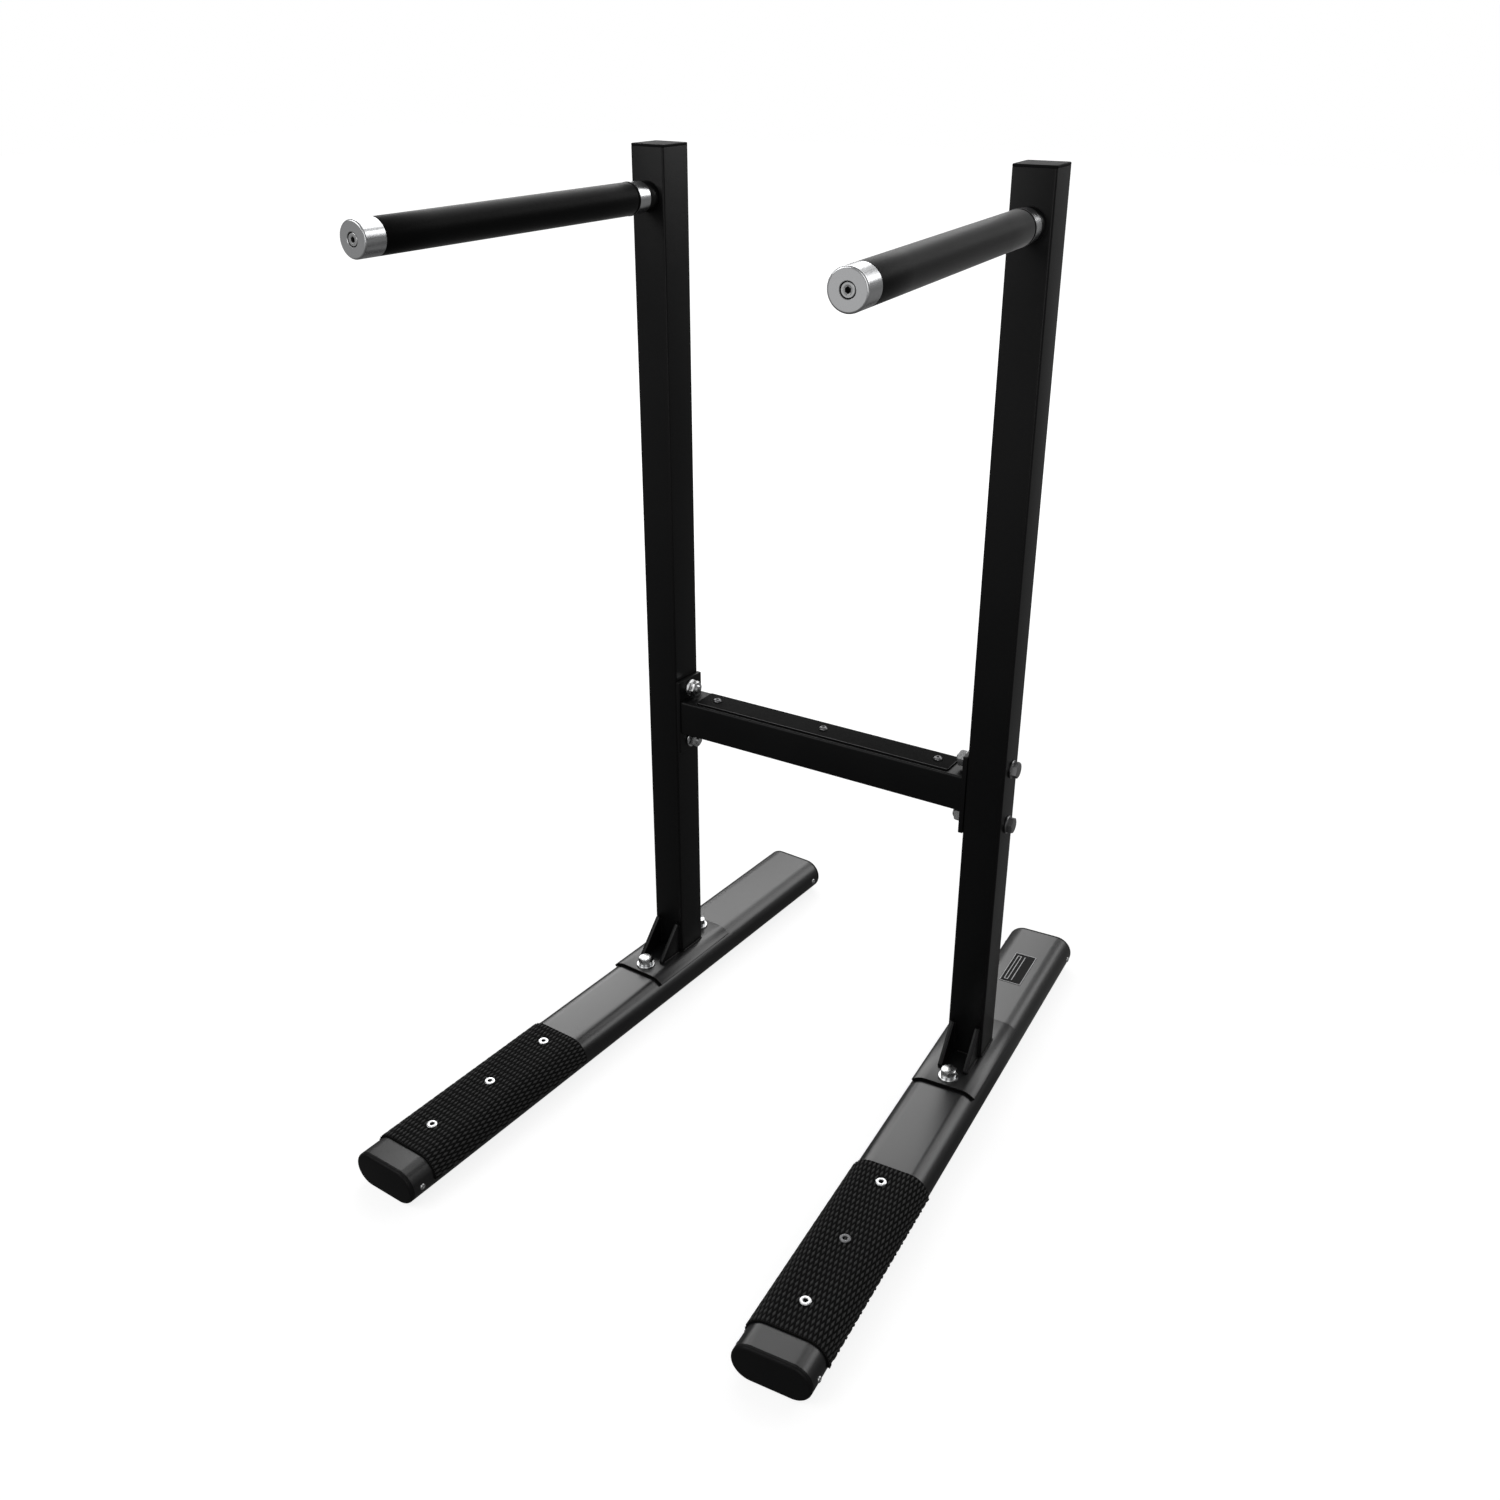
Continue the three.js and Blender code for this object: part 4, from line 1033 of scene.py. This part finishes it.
# %% The blank plate
LABEL_REAR, LABEL_LENGTH, LABEL_WIDTH, LABEL_THICK = -249, 80, 33, 0.6
PRINT_RISE = 0.15
LABEL_FACE = BEAM_HEIGHT + LABEL_THICK - PRINT_RISE
LABEL_MIDDLE = -(LABEL_REAR + LABEL_LENGTH / 2)
LABEL_CORNER, BORDER_MARGIN, BORDER_WIDTH = 1.5, 0.3, 1.0
LINE, FIELD_LENGTH, FIELD_MIDDLE, FIELD_END = 1.1, 66, -8, 32.4
FIELD_LINES = (-10.5, -5.5, 0.5)  # across the plate; the first two bound the empty field
FIELD_SIDE = (FIELD_LINES[1] - FIELD_LINES[0]) - LINE


def blank_plate():
    bm = bar((LABEL_WIDTH, LABEL_LENGTH, LABEL_FACE - BEAM_HEIGHT),
             (0, LABEL_MIDDLE, (LABEL_FACE + BEAM_HEIGHT) / 2), (0, 0, 1), LABEL_CORNER, 4)
    bm.normal_update()
    top = [face for face in bm.faces if face.normal.z > 0.9]
    bmesh.ops.inset_region(bm, faces=top, thickness=BORDER_MARGIN, use_even_offset=True)
    ring = bmesh.ops.inset_region(bm, faces=top, thickness=BORDER_WIDTH, use_even_offset=True)["faces"]
    raised = bmesh.ops.extrude_face_region(bm, geom=ring)
    bmesh.ops.delete(bm, geom=ring, context="FACES_ONLY")
    bmesh.ops.translate(bm, vec=(0, 0, PRINT_RISE), verts=made(raised, VERT))
    middle = LABEL_FACE + PRINT_RISE / 2
    for across in FIELD_LINES:
        joined(bm, block((LINE, FIELD_LENGTH, PRINT_RISE), (across, LABEL_MIDDLE, middle)))
    for end in (-FIELD_END, FIELD_END):
        joined(bm, block((FIELD_SIDE, LINE, PRINT_RISE), (FIELD_MIDDLE, LABEL_MIDDLE + end, middle)))
    return second_finish(bm, lambda face: face.calc_center_median().z > LABEL_FACE + 0.05)


finish_piece(blank_plate(), "blank_plate", side_place["right"], label_face, "label_metal", "label_plate",
             doubles=MERGE, second=label_rim)
print("pieces:", len(made_faces), "faces in all:", sum(made_faces.values()))

# %% [markdown]
# ## Camera
# The camera stands where the photographer stood. Its place, turn and lens were found by fitting
# the station's straight edges, so the frame's own geometry says where it is: a little above
# the handles, to the right, looking down at 26.6 degrees.

# %% The camera
SENSOR = 36
FOCAL_SHARE = 1482.447 / 1500  # the fitted focal length, as a share of the picture's width
CAMERA_OFFSET = Vector((0.86337, -1.58576, 1.35285))  # from midway between the uprights' axes

lens = bpy.data.cameras.new("camera")
lens.sensor_width = SENSOR
lens.sensor_fit = "HORIZONTAL"
lens.lens = FOCAL_SHARE * SENSOR
camera = new_object("camera", lens)
yaw, pitch = math.radians(-31.712), math.radians(26.636)
camera.location = CAMERA_OFFSET + Vector((0, axis["left"].y, 0))
camera.rotation_euler = (math.pi / 2 - pitch, 0, -yaw)
bpy.context.scene.camera = camera
print("lens:", round(lens.lens, 3), "mm, camera at", tuple(round(v, 3) for v in camera.location))

# %% [markdown]
# ## Floor, room and light
# The floor is plain and pale. Seen by the camera it is lifted to white, yet it is still a real
# lit surface, so the soft shadow under the beams stays. The room behind is white too. Large
# soft lamps behind the station make the beams' tops and the ends of the handles shine. Weaker
# ones in front keep its near faces from going black. Glossy surfaces see the floor and the room
# much dimmer, which keeps the black coat black: the floor is nearly black beside the station
# and a dim grey far off, apart from one even grey sector at the back right.

# %% Light levels
FLOOR_MATT, FLOOR_MATT_IN_GLOSS = 0.30, 0.06
LIFT_BESIDE, LIFT_FAR, LIFT_FROM, LIFT_TO = 0.82, 1.0, 1.0, 2.6  # strengths, then metres
GLOSS_BESIDE, GLOSS_FAR, GLOSS_FROM, GLOSS_TO = 0.05, 0.30, 0.8, 6.0
BACK_RIGHT = (math.sin(math.radians(36)), math.cos(math.radians(36)), 0)
GLOSS_BACK_RIGHT = 0.12
SECTOR_EDGE, SECTOR_FULL = 0.90, 0.97  # cosines of the angle from BACK_RIGHT
ROOM_LOW, ROOM_HIGH, ROOM_FROM, ROOM_TO, ROOM_FILL = 0.2, 0.25, 0.2, 0.8, 0.3

# %% The floor
FLOOR_REACH, FLOOR_DROP = 14, 0.0004  # metres


def seen(tree):
    """Two masks: 1 for rays from the camera or through glass, and 1 for rays off glossy surfaces."""
    path = add_node(tree, "LightPath", {})
    return maths(tree, "MAXIMUM", path["Is Camera Ray"], path["Is Transmission Ray"]), path["Is Glossy Ray"]


bm = bmesh.new()
bmesh.ops.create_grid(bm, x_segments=1, y_segments=1, size=FLOOR_REACH)
floor = new_object("floor", new_mesh("floor", bm))
floor.location = (0, 0, -FLOOR_DROP)
floor_finish = bpy.data.materials.new("floor")
floor_finish.use_nodes = True
tree = floor_finish.node_tree
tree.nodes.clear()
direct, by_gloss = seen(tree)
spot = add_node(tree, "TexCoord", {})["Object"]
distance = vector_maths(tree, "LENGTH", spot)["Value"]
lifted = ranged(tree, distance, LIFT_FROM, LIFT_TO, LIFT_BESIDE, LIFT_FAR)
heading = vector_maths(tree, "NORMALIZE", spot)["Vector"]
towards = vector_maths(tree, "DOT_PRODUCT", heading, BACK_RIGHT)["Value"]
even = ranged(tree, towards, SECTOR_EDGE, SECTOR_FULL, 0, 1)
elsewhere = ranged(tree, distance, GLOSS_FROM, GLOSS_TO, GLOSS_BESIDE, GLOSS_FAR)
mirrored = maths(tree, "MULTIPLY_ADD", even, GLOSS_BACK_RIGHT,
                 maths(tree, "MULTIPLY", maths(tree, "SUBTRACT", 1.0, even), elsewhere))
strength = maths(tree, "MULTIPLY_ADD", by_gloss, mirrored, maths(tree, "MULTIPLY", direct, lifted))
matt = add_node(tree, "BsdfDiffuse", {"Color": ranged(tree, by_gloss, 0, 1, FLOOR_MATT, FLOOR_MATT_IN_GLOSS)})
lift = add_node(tree, "Emission", {"Strength": strength})
both = add_node(tree, "AddShader", {0: matt[0], 1: lift[0]})
add_node(tree, "OutputMaterial", {"Surface": both[0]})
floor.data.materials.append(floor_finish)

# %% The room
room = bpy.data.worlds.new("room")
bpy.context.scene.world = room
room.use_nodes = True
tree = room.node_tree
direct, by_gloss = seen(tree)
rise = add_node(tree, "SeparateXYZ", {0: add_node(tree, "TexCoord", {})["Generated"]})["Z"]
glow = ranged(tree, rise, ROOM_FROM, ROOM_TO, ROOM_LOW, ROOM_HIGH)
unseen = maths(tree, "SUBTRACT", 1.0, maths(tree, "MAXIMUM", direct, by_gloss))
plain = maths(tree, "MULTIPLY", unseen, ROOM_FILL)
strength = maths(tree, "MULTIPLY_ADD", by_gloss, glow, maths(tree, "ADD", direct, plain))
feed(tree, tree.nodes["Background"], {"Color": (1, 1, 1, 1), "Strength": strength})


# %% The lamps
def soft_lamp(name, place, target, size, radiance):
    """A soft box of the given brightness, where 1 is as bright as white paper."""
    data = bpy.data.lights.new(name, "AREA")
    data.shape = "RECTANGLE"
    data.size, data.size_y = size
    data.energy = radiance * math.pi * size[0] * size[1]
    lamp = new_object(name, data)
    lamp.location = place
    lamp.rotation_euler = (Vector(target) - Vector(place)).to_track_quat("-Z", "Y").to_euler()
    lamp.visible_camera = False


soft_lamp("back_left", (-2.44, 4.13, 3.85), (0, 0, 0.4), (3.8, 3.0), 2.6)
soft_lamp("back_top", (0.75, 4.3, 4.6), (0, 0, 0.4), (2.4, 1.6), 1.9)
soft_lamp("back_right", (2.8, 4.0, 3.15), (0, 0, 0.4), (3.2, 2.2), 2.3)
soft_lamp("over_left_handle", (-0.18, 0.5, 2.05), (-0.27, -0.34, 1.15), (1.0, 0.35), 1.6)
soft_lamp("left", (-2.75, 2.15, 1.35), (-0.3, -0.3, 1.15), (1.2, 1.4), 2.4)
soft_lamp("front_left", (-1.6, -2.1, 2.6), (0, 0, 0.5), (2.2, 1.8), 2.2)
soft_lamp("front_right", (1.5, -2.3, 1.9), (0, 0, 1.1), (1.6, 2.4), 1.2)
soft_lamp("front_low", (-0.6, -2.7, 0.75), (0.28, -0.35, 1.15), (1.2, 1.0), 0.3)
print("lamps:", [lamp.name for lamp in bpy.data.lights])

bpy.context.scene.view_settings.view_transform = "Standard"
